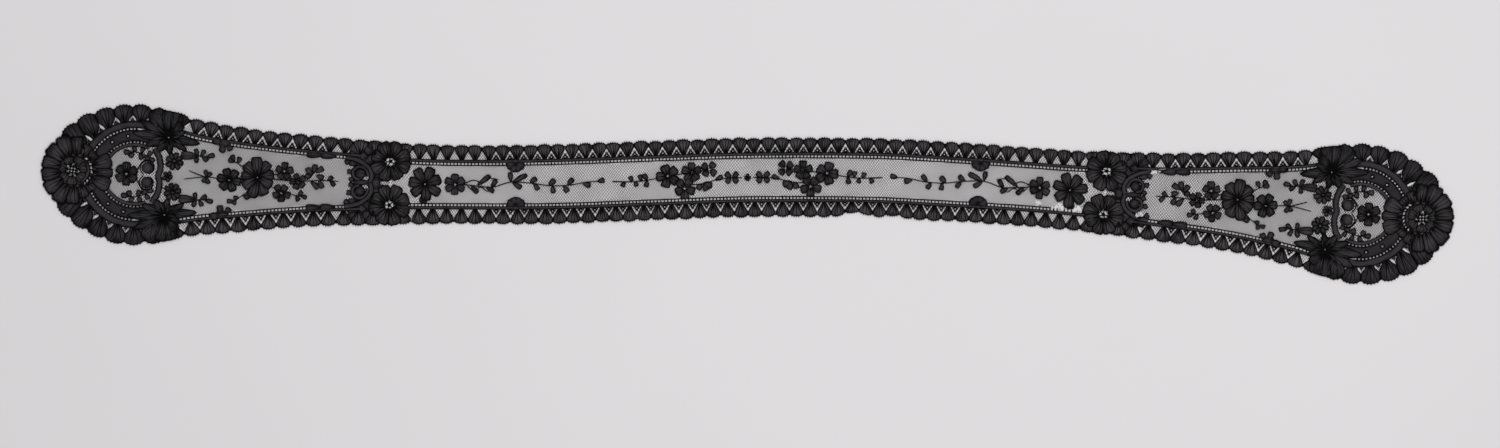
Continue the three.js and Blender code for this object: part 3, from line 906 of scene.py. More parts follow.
    def ring(self, s: float, t: float, radius: float, height: float, thick: float) -> None:
        """A small ring of thread round a hole."""
        self.thread(arc(s, t, radius, 0, 360, 10 if radius < 3 else 24), height, thick)

    def petal(self, s: float, t: float, petal: Petal, foot: float, base: float, ribs: int) -> None:
        """One petal with its ribs.

        Args:
            s: The flower's centre along the strip.
            t: The flower's centre across it.
            petal: The petal.
            foot: How far from the centre it starts.
            base: The height of its underside.
            ribs: The number of dark lines in it.
        """
        size = LARGE_PETAL if petal.to - foot > LARGE_FROM else SMALL_PETAL
        petal = petal._replace(wide=petal.wide * self.chance.uniform(0.94, 1.06))
        outline = petal_outline(s, t, petal, foot, size.steps, size.ripple)
        self.plate(outline, base, petal.angle, 0.1 + 0.01 * petal.to, size.rim)
        spread = min(0.18 * ribs, 0.62) if ribs > 1 else 0.0
        for i in range(ribs):
            lean = spread * (i / (ribs - 1) - 0.5) if spread else 0.0
            sway = self.chance.uniform(-0.04, 0.04)
            line = []
            for f in (0.05, 0.3, 0.55, 0.74 + sway):
                middle = polar(s, t, petal.angle, foot + (petal.to - foot) * f)
                line.append(polar(*middle, petal.angle + 90, (lean + sway) * petal.wide * f * 1.2))
            self.thread(line, base + 0.42, size.rib, 0.45)

    def bloom(self, bloom: Bloom, base: float = Level.MOTIF, ribs: int = 1) -> None:
        """A flower whose petals are all alike, round a small open eye.

        Args:
            bloom: The flower.
            base: The height of its underside.
            ribs: The number of dark lines in each petal.
        """
        for i in range(bloom.petals):
            angle = bloom.turn + 360 * i / bloom.petals + self.chance.uniform(-4, 4)
            petal = Petal(angle, bloom.to * self.chance.uniform(0.95, 1.05), bloom.wide)
            self.petal(bloom.s, bloom.t, petal, bloom.eye, base + 0.12 * (i % 2), ribs)
        self.ring(bloom.s, bloom.t, bloom.eye, base + 0.45, 0.26)

    def leaf(self, leaf: Leaf, base: float = Level.MOTIF) -> None:
        """A leaf with its outline thread."""
        blade = Petal(leaf.angle, 1.08 * leaf.long, 1.14 * leaf.wide)
        self.plate(petal_outline(leaf.s, leaf.t, blade, 0, 12), base, leaf.angle, 0.12, 0.42)

    def stem(self, points: Line, radius: float = 0.46) -> None:
        """A stem of thick thread."""
        self.thread(smooth_line(points), Level.MOTIF + 0.25, radius, 0.8)

    def braid(self, line: Line, wide: float) -> None:
        """A band of close cloth along a line, with a cord on each edge.

        Args:
            line: Where its middle goes.
            wide: Its width.
        """
        left, right = beside(line, 0.5 * wide), beside(line, -0.5 * wide)
        self.ribbon(left, right, Level.MOTIF)
        for edge in (left, right):
            self.thread(edge, Level.MOTIF + 0.3, 0.5)

    def mesh_fill(self, corners: Line) -> None:
        """Fills a gap with net.

        Args:
            corners: The corners of the gap.
        """
        for slant in (self.net_slant, -self.net_slant):
            us, ut = math.cos(math.radians(slant)), math.sin(math.radians(slant))
            offsets = [(t * us - s * ut) / self.net_pitch for s, t in corners]
            for number in range(math.ceil(min(offsets)), math.floor(max(offsets)) + 1):
                ends = []
                for i, a in enumerate(offsets):
                    b = offsets[i - 1]
                    share = (number - a) / (b - a) if a != b else -1
                    if 0 <= share <= 1:
                        ends.append(mix(corners[i], corners[i - 1], share))
                if len(ends) > 1:
                    self.thread(ends[:2], Level.NET, self.net_thick)

    # ------------------------------------------------------------ finishing

    def _cords(self) -> bpy.types.Mesh:
        """The threads as one mesh, in straight millimetres.

        Returns:
            The mesh.
        """
        curve = bpy.data.curves.new(self.name + "_threads", "CURVE")
        curve.dimensions = "3D"
        curve.bevel_depth = 1.0
        curve.bevel_resolution = 0
        curve.resolution_u = 1
        curve.use_fill_caps = True
        for thread in self.threads:
            spline = curve.splines.new("POLY")
            points = thread.points
            if len(points) > 4 and math.dist(points[0], points[-1]) < 1e-6:
                points = points[:-1]
                spline.use_cyclic_u = True
            spline.points.add(len(points) - 1)
            for i, (spot, place) in enumerate(zip(spline.points, points)):
                spot.co = (*place, thread.height, 1)
                share = i / (len(points) - 1)
                spot.radius = thread.radius + share * (thread.end_radius - thread.radius)
        holder = bpy.data.objects.new(self.name + "_threads", curve)
        bpy.context.scene.collection.objects.link(holder)
        view = bpy.context.evaluated_depsgraph_get()
        mesh = bpy.data.meshes.new_from_object(holder.evaluated_get(view))
        bpy.data.objects.remove(holder)
        bpy.data.curves.remove(curve)
        for polygon in mesh.polygons:
            polygon.material_index = Finish.CORD
        return mesh

    def finish(self, silks: tuple[Silk, ...]) -> bpy.types.Object:
        """Mirrors the piece into its place, lays it down and makes it an object.

        Args:
            silks: Those of the cloth, the outline thread and the plain cloth.

        Returns:
            The finished piece, which rides on the part and replaces its CAD node.
        """
        bm = self.bm
        bmesh.ops.recalc_face_normals(bm, faces=bm.faces[:])
        cords = self._cords()
        bm.from_mesh(cords)
        bpy.data.meshes.remove(cords)
        for vert in bm.verts:
            s, t, z = vert.co
            vert.co = self.strip.lay(Vector((self.end * s, self.side * t, z)))
        if self.end * self.side < 0:
            bmesh.ops.reverse_faces(bm, faces=bm.faces[:])
        for face in bm.faces:
            face.smooth = True
        piece = into_object(bm, self.name, [self.finishes.material(silk) for silk in silks])
        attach(piece, BODY)
        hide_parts(self.node)
        LOG.info("%s: %d faces", self.name, len(piece.data.polygons))
        return piece


Worker = Callable[[Work], None]


# ---------------------------------------------------------------- the net


@dataclass
class NetGround:
    """The fine net ground: two crossing sets of silk threads, lozenge meshes between them.

    It reaches to the rails, and nearer the edge between the two ends of the joint. The neck is
    the stretch under a head's arch, with half its width there. The head is the centre and radius
    of the round net inside a head. Each of the eyes is the place and radius of an open middle.
    """

    strip: Strip
    finishes: Finishes
    mesh_long: float = 2.08
    mesh_tall: float = 2.6
    thick: float = 0.126
    taper_thick: float = 0.162
    seam: float = 286.0
    rail: float = 16.4
    joint_rail: float = 4.2
    joint: tuple[float, float] = (274.0, 311.0)
    neck: tuple[float, float, float] = (452.0, 479.0, 28.0)
    head: tuple[float, float] = (490.0, 25.2)
    top: float = 36.0
    step: float = 1.1
    levels: tuple[float, float] = (Level.NET - 0.06, Level.NET + 0.1)
    drift_along: tuple[Wave, ...] = (Wave(0.42, 0.21, 0.13), Wave(0.3, -0.11, 0.47, 2.0))
    drift_across: tuple[Wave, ...] = (Wave(0.4, 0.17, -0.24, 1.0), Wave(0.28, 0.39, 0.09))
    eye: float = 1.2
    eyes: tuple[tuple[float, float, float], ...] = (
        (286, 17.5, 3.8), (286, -17.5, 3.8), (391.8, 2, 1.2), (496.5, 0, 1.2),
    )
    openings: list[tuple[float, float, float]] = field(default_factory=list)

    def reach(self, s: float) -> float:
        """How far from the middle line the net goes.

        Args:
            s: The distance along the strip, negative towards the left end.

        Returns:
            Half the net's width there.
        """
        s = abs(s)
        half = self.strip.half_width(s)
        if self.joint[0] < s < self.joint[1]:
            return half - self.joint_rail
        neck_start, neck_stop, neck_half = self.neck
        if s < neck_start:
            return half - self.rail
        if s < neck_stop:
            return neck_half
        middle, radius = self.head
        inner = radius**2 - (s - middle) ** 2
        return math.sqrt(inner) if inner > 0 else 0.0

    def holds(self, s: float, t: float) -> bool:
        """Whether the net covers a place.

        Args:
            s: Its distance along the strip.
            t: Its distance across it.

        Returns:
            Whether there is net.
        """
        if abs(t) > self.reach(s) or self.strip.torn(s, t):
            return False
        return all((abs(s) - a) ** 2 + (t - b) ** 2 > r * r for a, b, r in self.openings)

    def sway(self, s: float, t: float) -> Point:
        """Moves a point of an even net by the small unevenness of hand-made meshes.

        Args:
            s: Its distance along the strip.
            t: Its distance across it.

        Returns:
            Its place.
        """
        return s + height_of(self.drift_along, s, t), t + height_of(self.drift_across, s, t)

    def build(self, name: str, start: float, stop: float) -> bpy.types.Object:
        """Makes the net between two places along the strip.

        Args:
            name: The CAD node's name.
            start: Where it begins, measured from the middle of the strip.
            stop: Where it ends.

        Returns:
            The finished net.
        """
        work = Work("lace_" + name, name, self.strip, self.finishes, slot=Slot.NET)
        slope = self.mesh_tall / self.mesh_long
        for lean, height in zip((slope, -slope), self.levels):
            first = int((start - self.top / slope) / self.mesh_long) - 1
            last = int((stop + self.top / slope) / self.mesh_long) + 1
            for number in range(first, last + 1):
                self._line(work, (number * self.mesh_long, lean, height), (start, stop))
        for rip in self.strip.rips:
            if start < rip.s < stop:
                self._fray(work, rip)
        return work.finish((Silk.NET, Silk.NET))

    def _line(self, work: Work, lie: tuple[float, float, float], within: Point) -> None:
        """One thread across the strip, broken where the net stops.

        Args:
            work: The net.
            lie: Where it crosses the middle line, its slope and its height.
            within: Where this length of net begins and ends.
        """
        at, lean, height = lie
        points: Line = []
        count = int(2 * self.top / self.step)
        for i in range(count + 1):
            t = -self.top + 2 * self.top * i / count
            s = at + t / lean
            inside = within[0] <= s <= within[1] and self.holds(s, t)
            if inside:
                points.append(self.sway(s, t))
            if points and (not inside or i == count):
                kept = points[::3] if len(points) % 3 == 1 else [*points[::3], points[-1]]
                if len(kept) > 1:
                    radius = self.thick if abs(at) < self.seam else self.taper_thick
                    work.threads.append(Thread(kept, height, radius, radius))
                points = []

    def _fray(self, work: Work, rip: Rip) -> None:
        """Leaves a few broken threads hanging into a hole.

        Args:
            work: The net.
            rip: The hole.
        """
        for _ in range(5):
            angle = work.chance.uniform(0, 360)
            rim = polar(rip.s, rip.t, angle, 0.55 * max(rip.long, rip.wide))
            turn = work.chance.uniform(-50, 50)
            middle = polar(*rim, angle + 180 + turn, 0.25 * rip.long)
            tip = polar(*middle, angle + 180 - turn, 0.2 * rip.long)
            line = [rim, middle, tip]
            work.threads.append(Thread(line, Level.NET + 0.2, 0.17, 0.08))

    def area(self, start: float, stop: float) -> float:
        """The area of the net between two places.

        Args:
            start: Where it begins, measured from the middle of the strip.
            stop: Where it ends.

        Returns:
            The area, in square metres.
        """
        steps = 400
        width = (stop - start) / steps
        reaches = (self.reach(start + (i + 0.5) * width) for i in range(steps))
        return sum(2 * reach * width for reach in reaches) * MM * MM


# ---------------------------------------------------------------- edging and braid


class Frame(NamedTuple):
    """The depths and widths of a fan's foot and of the window beside it."""

    foot: float = 12.3
    foot_half: float = 1.5
    apex: float = 4.8
    half: float = 4.1


@dataclass
class Edging:
    """The scalloped edging: a row of ribbed fans with picots, and a window between each two."""

    strip: Strip
    ripples: int = 12
    ripple: float = 0.4
    outline: float = 0.6
    rib: float = 0.5
    ribs: tuple[float, ...] = (-0.52, 0.0, 0.52)
    picot: float = 0.5
    slit: float = 1.4
    hole: float = 1.15
    backed: tuple[float, float] = (13.4, 3.4)
    stations: int = 14

    def fan(self, work: Work, low: float, high: float, depth: float, frame: Frame = Frame()) -> None:
        """One fan with its ribs and picots.

        Args:
            work: The piece it belongs to.
            low: The running length at the valley before it.
            high: The running length at the valley after it.
            depth: The depth of the valleys.
            frame: The depths and widths at its foot.
        """
        chance, foot = work.chance, frame.foot
        middle, half = 0.5 * (low + high), 0.5 * (high - low)
        lean, proud = chance.uniform(-0.5, 0.5), chance.uniform(-0.4, 0.35)

        def place(u: float, down: float) -> Point:
            """The point at a share of the half width and a depth."""
            return self.strip.inset(middle + u * half + lean * (1 - down / foot), down)

        def rim(u: float) -> float:
            """The depth of the rounded end."""
            return proud + depth * (1 - max(0.0, math.cos(0.5 * math.pi * u)) ** 0.6)

        narrow = frame.foot_half / half
        shares = [-1 + 2 * i / self.ripples for i in range(self.ripples + 1)]
        top = [place(1.02 * u, rim(u) + self.ripple * (i % 2)) for i, u in enumerate(shares)]
        sides = ((1.02, 0.96 * frame.apex), (0.62, 0.5 * (foot + frame.apex)), (narrow, foot))
        right = [place(u, down) for u, down in sides]
        left = [place(-u, down) for u, down in reversed(sides)]
        base = Level.CLOTH + chance.uniform(0, 0.12)
        tip, root = place(0, 0), place(0, foot)
        grain = math.degrees(math.atan2(tip[1] - root[1], tip[0] - root[0]))
        work.plate([*left, *top, *right], base, grain, 0.25, self.outline)
        for turn in self.ribs:
            turn += chance.uniform(-0.14, 0.14)
            rib = ((0.3 * turn * narrow, foot - 0.4), (0.6 * turn, 0.55 * foot), (turn, 2.4))
            work.thread([place(u, down) for u, down in rib], base + 0.48, self.rib, 0.5)
        for u in shares[::2]:
            ends = [place(u, rim(u) + 0.5), place(u, rim(u) - chance.uniform(0.25, 0.6))]
            work.thread(ends, base + 0.25, self.picot, 0.5)

    def backing(self, work: Work, start: float, stop: float) -> None:
        """A band of cloth under crowded fans.

        Args:
            work: The piece it belongs to.
            start: The running length at which it begins.
            stop: The running length at which it ends.
        """
        along = [start + (stop - start) * i / self.stations for i in range(self.stations + 1)]
        lower, upper = ([self.strip.inset(x, down) for x in along] for down in self.backed)
        work.ribbon(lower, upper, Level.CLOTH - 0.3)

    def window(self, work: Work, at: float, frame: Frame = Frame()) -> None:
        """A window: two slits that meet in a point, and a ring between them.

        Args:
            work: The piece it belongs to.
            at: Its running length.
            frame: Its depths and widths.
        """
        inset, slit = self.strip.inset, self.slit
        tall, wide = frame.foot - frame.apex, frame.half - slit
        inner = ((-wide, frame.foot), (0, frame.apex + 2.1 * slit), (wide, frame.foot))
        work.thread([inset(at + u, down) for u, down in inner], Level.CLOTH + 0.1, 0.46)
        work.thread([inset(at + u, frame.foot) for u in (-wide, wide)], Level.CLOTH + 0.1, 0.6)
        work.ring(*inset(at, frame.foot - 1.9), self.hole, Level.CLOTH + 0.15, 0.58)
        for share in (0.3, 0.65):
            down = frame.apex + share * tall
            for side in (-1, 1):
                outer = inset(at + side * share * frame.half, down)
                work.thread([outer, inset(at + side * share * wide, down + 1.8)], Level.NET, 0.15)

    def net_window(self, work: Work, at: float, frame: Frame = Frame()) -> None:
        """A window filled with plain net.

        Args:
            work: The piece it belongs to.
            at: Its running length.
            frame: Its depths and widths.
        """
        sides = ((-frame.half, frame.foot), (0, frame.apex), (frame.half, frame.foot))
        work.mesh_fill([self.strip.inset(at + u, down) for u, down in sides])

    def closed_window(self, work: Work, at: float, frame: Frame) -> None:
        """A window that a gore of cloth fills but for a slit on each side.

        Args:
            work: The piece it belongs to.
            at: Its running length.
            frame: Its depths and widths.
        """
        wide, tip = frame.half - self.slit, frame.apex + 1.5 * self.slit
        half = ((wide, frame.foot), (0.62 * wide, 0.5 * (frame.foot + tip)))
        rim = [*half, (0.0, tip), *((-u, down) for u, down in reversed(half))]
        outline = [self.strip.inset(at + u, down) for u, down in rim]
        work.plate(outline, Level.CLOTH, 90, 0.15, 0.4)
        self.net_window(work, at, frame)


@dataclass
class EyeletBraid:
    """The braid under the fans: a close band, a row of eyelets and a cord.

    Its sizes are depths from the scallops' peaks, and the eyelets' pitch.
    """

    strip: Strip
    knots_at: float = 15.4
    band_from: float = 12.2
    band_to: float = 14.1
    cord_at: float = 16.4
    pitch: float = 2.8

    def lay_along(self, work: Work, start: float, stop: float) -> None:
        """Lays the braid along the edge.

        Args:
            work: The piece it belongs to.
            start: The running length at which it begins.
            stop: The running length at which it ends.
        """
        inset = self.strip.inset
        steps = max(2, round((stop - start) / 6))
        stations = [start + (stop - start) * i / steps for i in range(steps + 1)]
        outer, inner, cord = (
            [inset(x, depth) for x in stations]
            for depth in (self.band_from, self.band_to, self.cord_at)
        )
        work.ribbon(outer, inner, Level.CLOTH)
        for line, radius in ((outer, 0.42), (inner, 0.4), (cord, 0.48)):
            work.thread(line, Level.CLOTH + 0.3, radius)
        count = round((stop - start) / self.pitch)
        for i in range(count + 1):
            x = start + (stop - start) * i / count
            bar = [inset(x, self.band_to), inset(x, self.cord_at)]
            work.thread(bar, Level.CLOTH + 0.1, work.chance.uniform(0.42, 0.58))


# ---------------------------------------------------------------- flowers and sprays


@dataclass
class EndFlower:
    """The great flower at the tip of a head, with its rose and the holes on its inner side.

    Its foot is the radius at which its petals begin. The holes lie at their feet, past the
    direction in which it is opened, and the bars between them end at the turns and distances
    from the foot that their ends give.
    """

    s: float = 537.0
    foot: float = 13.4
    rose: Bloom = Bloom(539.5, 0, 7, 12.2, 9.6, 12, 4.0)
    petals: tuple[Petal, ...] = (
        Petal(12, 28.7, 11.8), Petal(37, 29.9, 12.8), Petal(63, 30.9, 13), Petal(88, 28.4, 11.6),
        Petal(112, 23.8, 9.8), Petal(135, 22.5, 9.8), Petal(159, 31, 13.4),
    )
    inner: Petal = Petal(180, 31, 9)
    under_to: float = 20.0
    picots_to: float = 100.0
    picots: tuple[int, int] = (13, 28)
    ring_wide: float = 1.8
    opened: float = 122.0
    holes: int = 9
    bar_ends: tuple[Point, ...] = ((-4, -2.6), (3, 0.6))
    hole_rims: tuple[float, ...] = (-2.1, 0.2)
    rose_from: float = 6.5
    bars: tuple[float, ...] = (-2.4, 0.0, 2.4)
    bar: float = 0.6

    def work(self, work: Work) -> None:
        """Works the outer petals with their picots, and the holes at their feet.

        Args:
            work: The piece it belongs to.
        """
        s, foot, near = self.s, self.foot, self.foot - self.ring_wide
        under = (arc(s, 0, foot, -180, 180, 48), arc(s, 0, self.under_to, -180, 180, 48))
        work.ribbon(*under, Level.CLOTH - 0.1)
        rows = [self.inner]
        for petal in self.petals:
            rows += [petal, petal._replace(angle=-petal.angle)]
        for i, petal in enumerate(rows):
            closed = abs(petal.angle) < self.opened
            work.petal(s, 0, petal, near if closed else foot, Level.MOTIF + 0.1 * (i % 3), 2)
            if abs(petal.angle) < self.picots_to:
                self._picots(work, petal)
        solid = [arc(s, 0, radius, -self.opened, self.opened, 30) for radius in (near, foot)]
        work.ribbon(solid[0], solid[1], Level.CLOTH)
        chance = work.chance
        for i in range(self.holes + 1):
            angle = self.opened + (360 - 2 * self.opened) * i / self.holes + chance.uniform(-3, 3)
            ends = [polar(s, 0, angle + turn, foot + out) for turn, out in self.bar_ends]
            work.thread(ends, Level.CLOTH + 0.4, chance.uniform(0.5, 0.85))
        for out in self.hole_rims:
            ring = arc(s, 0, foot + out, self.opened, 360 - self.opened, 20)
            uneven = [mix(place, (s, 0), chance.uniform(-0.03, 0.03)) for place in ring]
            work.thread(uneven, Level.CLOTH + 0.3, 0.42)

    def _picots(self, work: Work, petal: Petal) -> None:
        """Works the picots round the tip of a petal.

        Args:
            work: The piece it belongs to.
            petal: The petal.
        """
        first, last = self.picots
        for place in petal_outline(self.s, 0, petal, self.foot, 40)[first:last]:
            angle = math.degrees(math.atan2(place[1], place[0] - self.s))
            ends = [polar(*place, angle, -0.5), polar(*place, angle, work.chance.uniform(0.25, 0.6))]
            work.thread(ends, Level.MOTIF + 0.25, 0.5, 0.5)

    def work_rose(self, work: Work) -> None:
        """Works the rose and the bars across its open middle.

        Args:
            work: The piece it belongs to.
        """
        s, eye = self.rose.s, self.rose.eye
        work.bloom(self.rose, Level.MOTIF, 2)
        under = (arc(s, 0, self.rose_from, 0, 360, 24), arc(self.s, 0, self.foot - 1.9, 0, 360, 24))
        work.ribbon(*under, Level.CLOTH - 0.1)
        for offset in self.bars:
            reach = math.sqrt(eye * eye - offset * offset)
            along = [(s - reach, offset), (s + reach, offset + 0.5)]
            across = [(s + offset, -reach), (s + offset - 0.4, reach)]
            work.thread(along, Level.CLOTH + 0.1, self.bar)
            work.thread(across, Level.CLOTH + 0.3, self.bar)


@dataclass
class CornerFlower:
    """The pointed flower at each corner of a head."""

    s: float = 464.5
    t: float = 31.0
    petals: tuple[Petal, ...] = (
        Petal(58, 27, 16), Petal(108, 22.5, 14), Petal(84, 23, 10.5), Petal(130, 17, 9),
        Petal(28, 25, 10, True), Petal(4, 28, 9.5, True), Petal(-22, 19, 8, True),
        Petal(158, 14, 7, True), Petal(188, 24, 8.5, True), Petal(213, 17, 7, True),
        Petal(262, 13, 7, True), Petal(306, 14.5, 8, True), Petal(284, 10, 5, True),
    )
    eye: float = 1.1
    ring: float = 0.95
    broad: float = 12.0

    def work(self, work: Work) -> None:
        """Works the flower.

        Args:
            work: The piece it belongs to.
        """
        for i, petal in enumerate(self.petals):
            ribs = 5 if petal.wide > self.broad else 3
            work.petal(self.s, self.t, petal, self.eye, Level.MOTIF + 0.08 * (i % 4), ribs)
        work.ring(self.s, self.t, self.ring, Level.ROSE + 0.3, 0.36)


@dataclass
class JointFlower:
    """One of the pair of round flowers where the strip meets a head, with an open middle."""

    bloom: Bloom = Bloom(286, 17.5, 8, 17.4, 11.6, 20, 3.5)
    bars: int = 5
    stray: float = 14.0
    ring: float = 1.1

    def work(self, work: Work) -> None:
        """Works the flower.

        Args:
            work: The piece it belongs to.
        """
        s, t = self.bloom.s, self.bloom.t
        work.bloom(self.bloom, ribs=2)
        for i in range(self.bars):
            angle = 360 / self.bars * i + work.chance.uniform(-self.stray, self.stray)
            work.thread([polar(s, t, angle, self.bloom.eye + 0.2), (s, t)], Level.CLOTH, 0.42)
        work.ring(s, t, self.ring, Level.CLOTH + 0.1, 0.44)


@dataclass
class HeadSpray:
    """The little flower and two scroll discs inside a head.

    A curl of thread winds in round each disc, and a stem ties it to the flower.
    """

    bloom: Bloom = Bloom(496.6, 0, 6, 10.4, 7.4, 30)
    disc: Point = (480, 5.9)
    radius: float = 4.8
    curl_points: int = 8
    curl_from: float = -60.0
    curl_turn: float = 45.0
    curl_gap: float = 1.5
    curl_in: float = 0.2
    tie: tuple[Point, ...] = ((488.5, 0), (487, 6.5), (482.5, 12), (475.4, 10))

    def work(self, work: Work) -> None:
        """Works the spray.

        Args:
            work: The piece it belongs to.
        """
        work.bloom(self.bloom, ribs=2)
        for side in (1, -1):
            s, t = self.disc[0], side * self.disc[1]
            work.plate(arc(s, t, self.radius, 0, 330, 11), Level.MOTIF, 90, 0.3, 0.4)
            curl = []
            for i in range(self.curl_points):
                reach = self.radius + self.curl_gap - self.curl_in * i
                curl.append(polar(s, t, side * (self.curl_turn * i + self.curl_from), reach))
            work.stem(curl, 0.5)
            work.stem([(along, side * across) for along, across in self.tie])


@dataclass
class Arch:
    """The bracket-shaped arch across the neck of a head, with its three small flowers."""

    line: tuple[Point, ...] = (
        (475, 22), (471, 14), (469.8, 6), (471.2, 0), (469.8, -6), (471, -14), (475, -22),
    )
    wide: float = 4.2
    star: Bloom = Bloom(459, 12.2, 8, 7.8, 4.6, 15)
    bud: Bloom = Bloom(463.8, 0, 5, 4.6, 3.8, 45, 0.6)
    tie: tuple[Point, ...] = ((469, 9), (463, 10.5), (458, 12))

    def work(self, work: Work) -> None:
        """Works the arch.

        Args:
            work: The piece it belongs to.
        """
        work.braid(smooth_line(list(self.line)), self.wide)
        work.bloom(self.bud, Level.MOTIF, 0)
        for side in (1, -1):
            work.bloom(self.star._replace(t=side * self.star.t, turn=side * self.star.turn), ribs=0)
            work.stem([(along, side * across) for along, across in self.tie])


class Sprig(NamedTuple):
    """Leaves and flowers on thin stems."""

    stems: tuple[tuple[Point, ...], ...]
    leaves: tuple[Leaf, ...]
    blooms: tuple[Bloom, ...] = ()

    def work(self, work: Work) -> None:
        """Works the sprig.

        Args:
            work: The piece it belongs to.
        """
        for stem in self.stems:
            work.stem(list(stem))
        for leaf in self.leaves:
            work.leaf(leaf)
        for bloom in self.blooms:
            work.bloom(bloom, Level.MOTIF + 0.08)


BUD_SPRIG = Sprig(
    (((452, 17), (440, 17.4), (430, 17)),),
    (
        Leaf(440, 17.4, 0, 14, 6.6), Leaf(440, 17.4, 66, 6.4, 3.8), Leaf(438, 17.4, 122, 6, 3.8),
        Leaf(434, 17.2, 168, 7.4, 4), Leaf(437, 17.2, 214, 6, 3.8), Leaf(440, 17.2, 290, 5.6, 3.6),
    ),
)
HEAD_SPRIG = Sprig(
    (((494.5, 18), (487, 17.4), (479.5, 14.6)),),
    (
        Leaf(494, 18, 350, 6, 4.4), Leaf(492, 18, 300, 5.4, 4.2), Leaf(490, 17.8, 62, 5, 4),
        Leaf(487, 17.4, 250, 5.6, 4.2), Leaf(485.4, 17, 98, 5, 4), Leaf(483, 16, 232, 5.4, 4.2),
        Leaf(480.4, 15, 120, 5, 4), Leaf(479, 14, 216, 5, 4),
    ),
)
JOINT_BLOSSOM = Sprig((), (Leaf(258, -8, 282, 7.4, 6.2),), (Bloom(257.8, 0, 7, 15, 9, 8),))
VINE = Sprig(
    (
        (
            (229, 0.4), (214, -1.4), (203, -1.8), (189, 2), (172, 0.8), (157, -1.4), (142, -1.2),
            (128, 0.8), (116, 0.8),
        ),
        ((226, 1), (219, 3.6), (212, 1.6), (206, 5), (199, 4)),
        ((224, -1), (219, -4.6), (213, -2), (208, -5.4), (203, -1.8)),
    ),
    (
        Leaf(216, -0.6, 142, 13, 4.2), Leaf(221, -0.8, 228, 8, 4.2), Leaf(209, -1.8, 212, 7.5, 4),
        Leaf(205, -1.8, 128, 7, 4), Leaf(189, 2, 84, 8, 4), Leaf(188, 2, 154, 13, 4.2),
        Leaf(188, 1.6, 212, 8.5, 4.2), Leaf(174, 0.8, 140, 7, 4.2), Leaf(171, 0.6, 232, 6.5, 4),
        Leaf(159, -1.2, 136, 7, 4.4), Leaf(156, -1.4, 262, 6, 4), Leaf(147, -1.4, 240, 6.4, 4.4),
        Leaf(144, -1.2, 132, 7, 4.2), Leaf(132, 0, 200, 7, 4.4), Leaf(120, 0.8, 168, 6, 4.2),
    ),
    (Bloom(233.8, 0, 6, 9.4, 6.8, 30),),
)
BUNCH = Sprig(
    (
        ((108, 0.4), (92, -0.4), (80, 0.4), (66, 2.6)),
        ((62, 2), (52, -5)),
        ((60, 3.6), (44, 5.4), (31, 7.2)),
        ((52, -4), (40, -4.4), (31, -3), (22, -0.6), (4.4, 0)),
    ),
    (
        Leaf(98, -0.2, 300, 4.6, 3.8), Leaf(92, -0.2, 68, 4.6, 3.8), Leaf(90, -0.2, 250, 4.4, 3.8),
        Leaf(85, 0, 78, 5.2, 4), Leaf(80, 0.4, 60, 6, 4.2), Leaf(80, 0.2, 284, 5.4, 4.2),
        Leaf(36, -3.8, 196, 8, 5.4), Leaf(35, -3.8, 250, 6.4, 5.2), Leaf(37, -3.8, 300, 6, 4.8),
        Leaf(26, -1.4, 158, 7, 4), Leaf(13, 0, 42, 6, 4.4), Leaf(12, 0, 138, 6, 4.4),
        Leaf(12, 0, 222, 5.6, 4.4), Leaf(13, 0, 318, 5.6, 4.4),
    ),
    (
        Bloom(44.5, 5.3, 5, 8.6, 7.4, 18), Bloom(63.5, 3.2, 5, 10, 8.4, 0), Bloom(50.5, -7.4, 5, 9, 7.6, 54),
        Bloom(30.5, 7.2, 4, 7.2, 6.6, 40),
    ),
)
TAPER_SPRAY = Sprig(
    (
        ((400, 1), (418, 0), (434, 1), (451, -1.6)),
        ((434, 1), (447, 5.4)),
        ((398, 7), (405, 11), (412, 15)),
        ((398, -8), (404, -13), (411, -17)),
        ((384, 3), (370, 6.6)),
        ((380, 1), (360, -0.4), (342, 0.6), (327, 0.4)),
        ((384, -3), (372, -9.4), (357, -12.4)),
        ((352, 1), (346, 7)),
    ),
    (
        Leaf(432, 1, 70, 6, 3.6), Leaf(432, 1, 128, 5, 3.6), Leaf(433, 1, 246, 6, 3.6),
        Leaf(433, 1, 300, 5, 3.6), Leaf(408, 13, 112, 5.4, 4), Leaf(410, 14, 18, 6, 4),
        Leaf(411, 14.6, 70, 5.4, 4), Leaf(403, -12.4, 212, 5, 3.8), Leaf(406, -14.4, 352, 5, 3.8),
        Leaf(409, -16, 290, 4.6, 3.8), Leaf(411, -17, 350, 5, 3.8), Leaf(361, -11.8, 240, 5, 3.8),
        Leaf(359, -12, 130, 5, 3.8), Leaf(357, -12.4, 190, 5, 3.8), Leaf(348, 4.6, 52, 7.6, 4.6),
        Leaf(347, 6, 98, 7.6, 4.6), Leaf(346, 7, 150, 7.6, 4.6), Leaf(345, 4.4, 196, 6.4, 4.4),
        Leaf(348.6, 3.4, 8, 5.4, 4), Leaf(349, 0, 226, 8.4, 4.4), Leaf(343, 0.6, 240, 7, 4.4),
        Leaf(336, 0.6, 140, 5.6, 3.6), Leaf(334, 0.4, 222, 5.6, 3.6), Leaf(404, 11, 196, 5.4, 4),
        Leaf(400, -10.6, 262, 5, 4),
    ),
    (
        Bloom(414.5, -0.5, 6, 10.4, 7.8, 10), Bloom(370.4, 7.4, 5, 7.9, 6.6, 20),
        Bloom(359.5, -0.6, 5, 6.9, 5.8, 0), Bloom(372.6, -10, 5, 7.9, 6.6, 50),
    ),
)


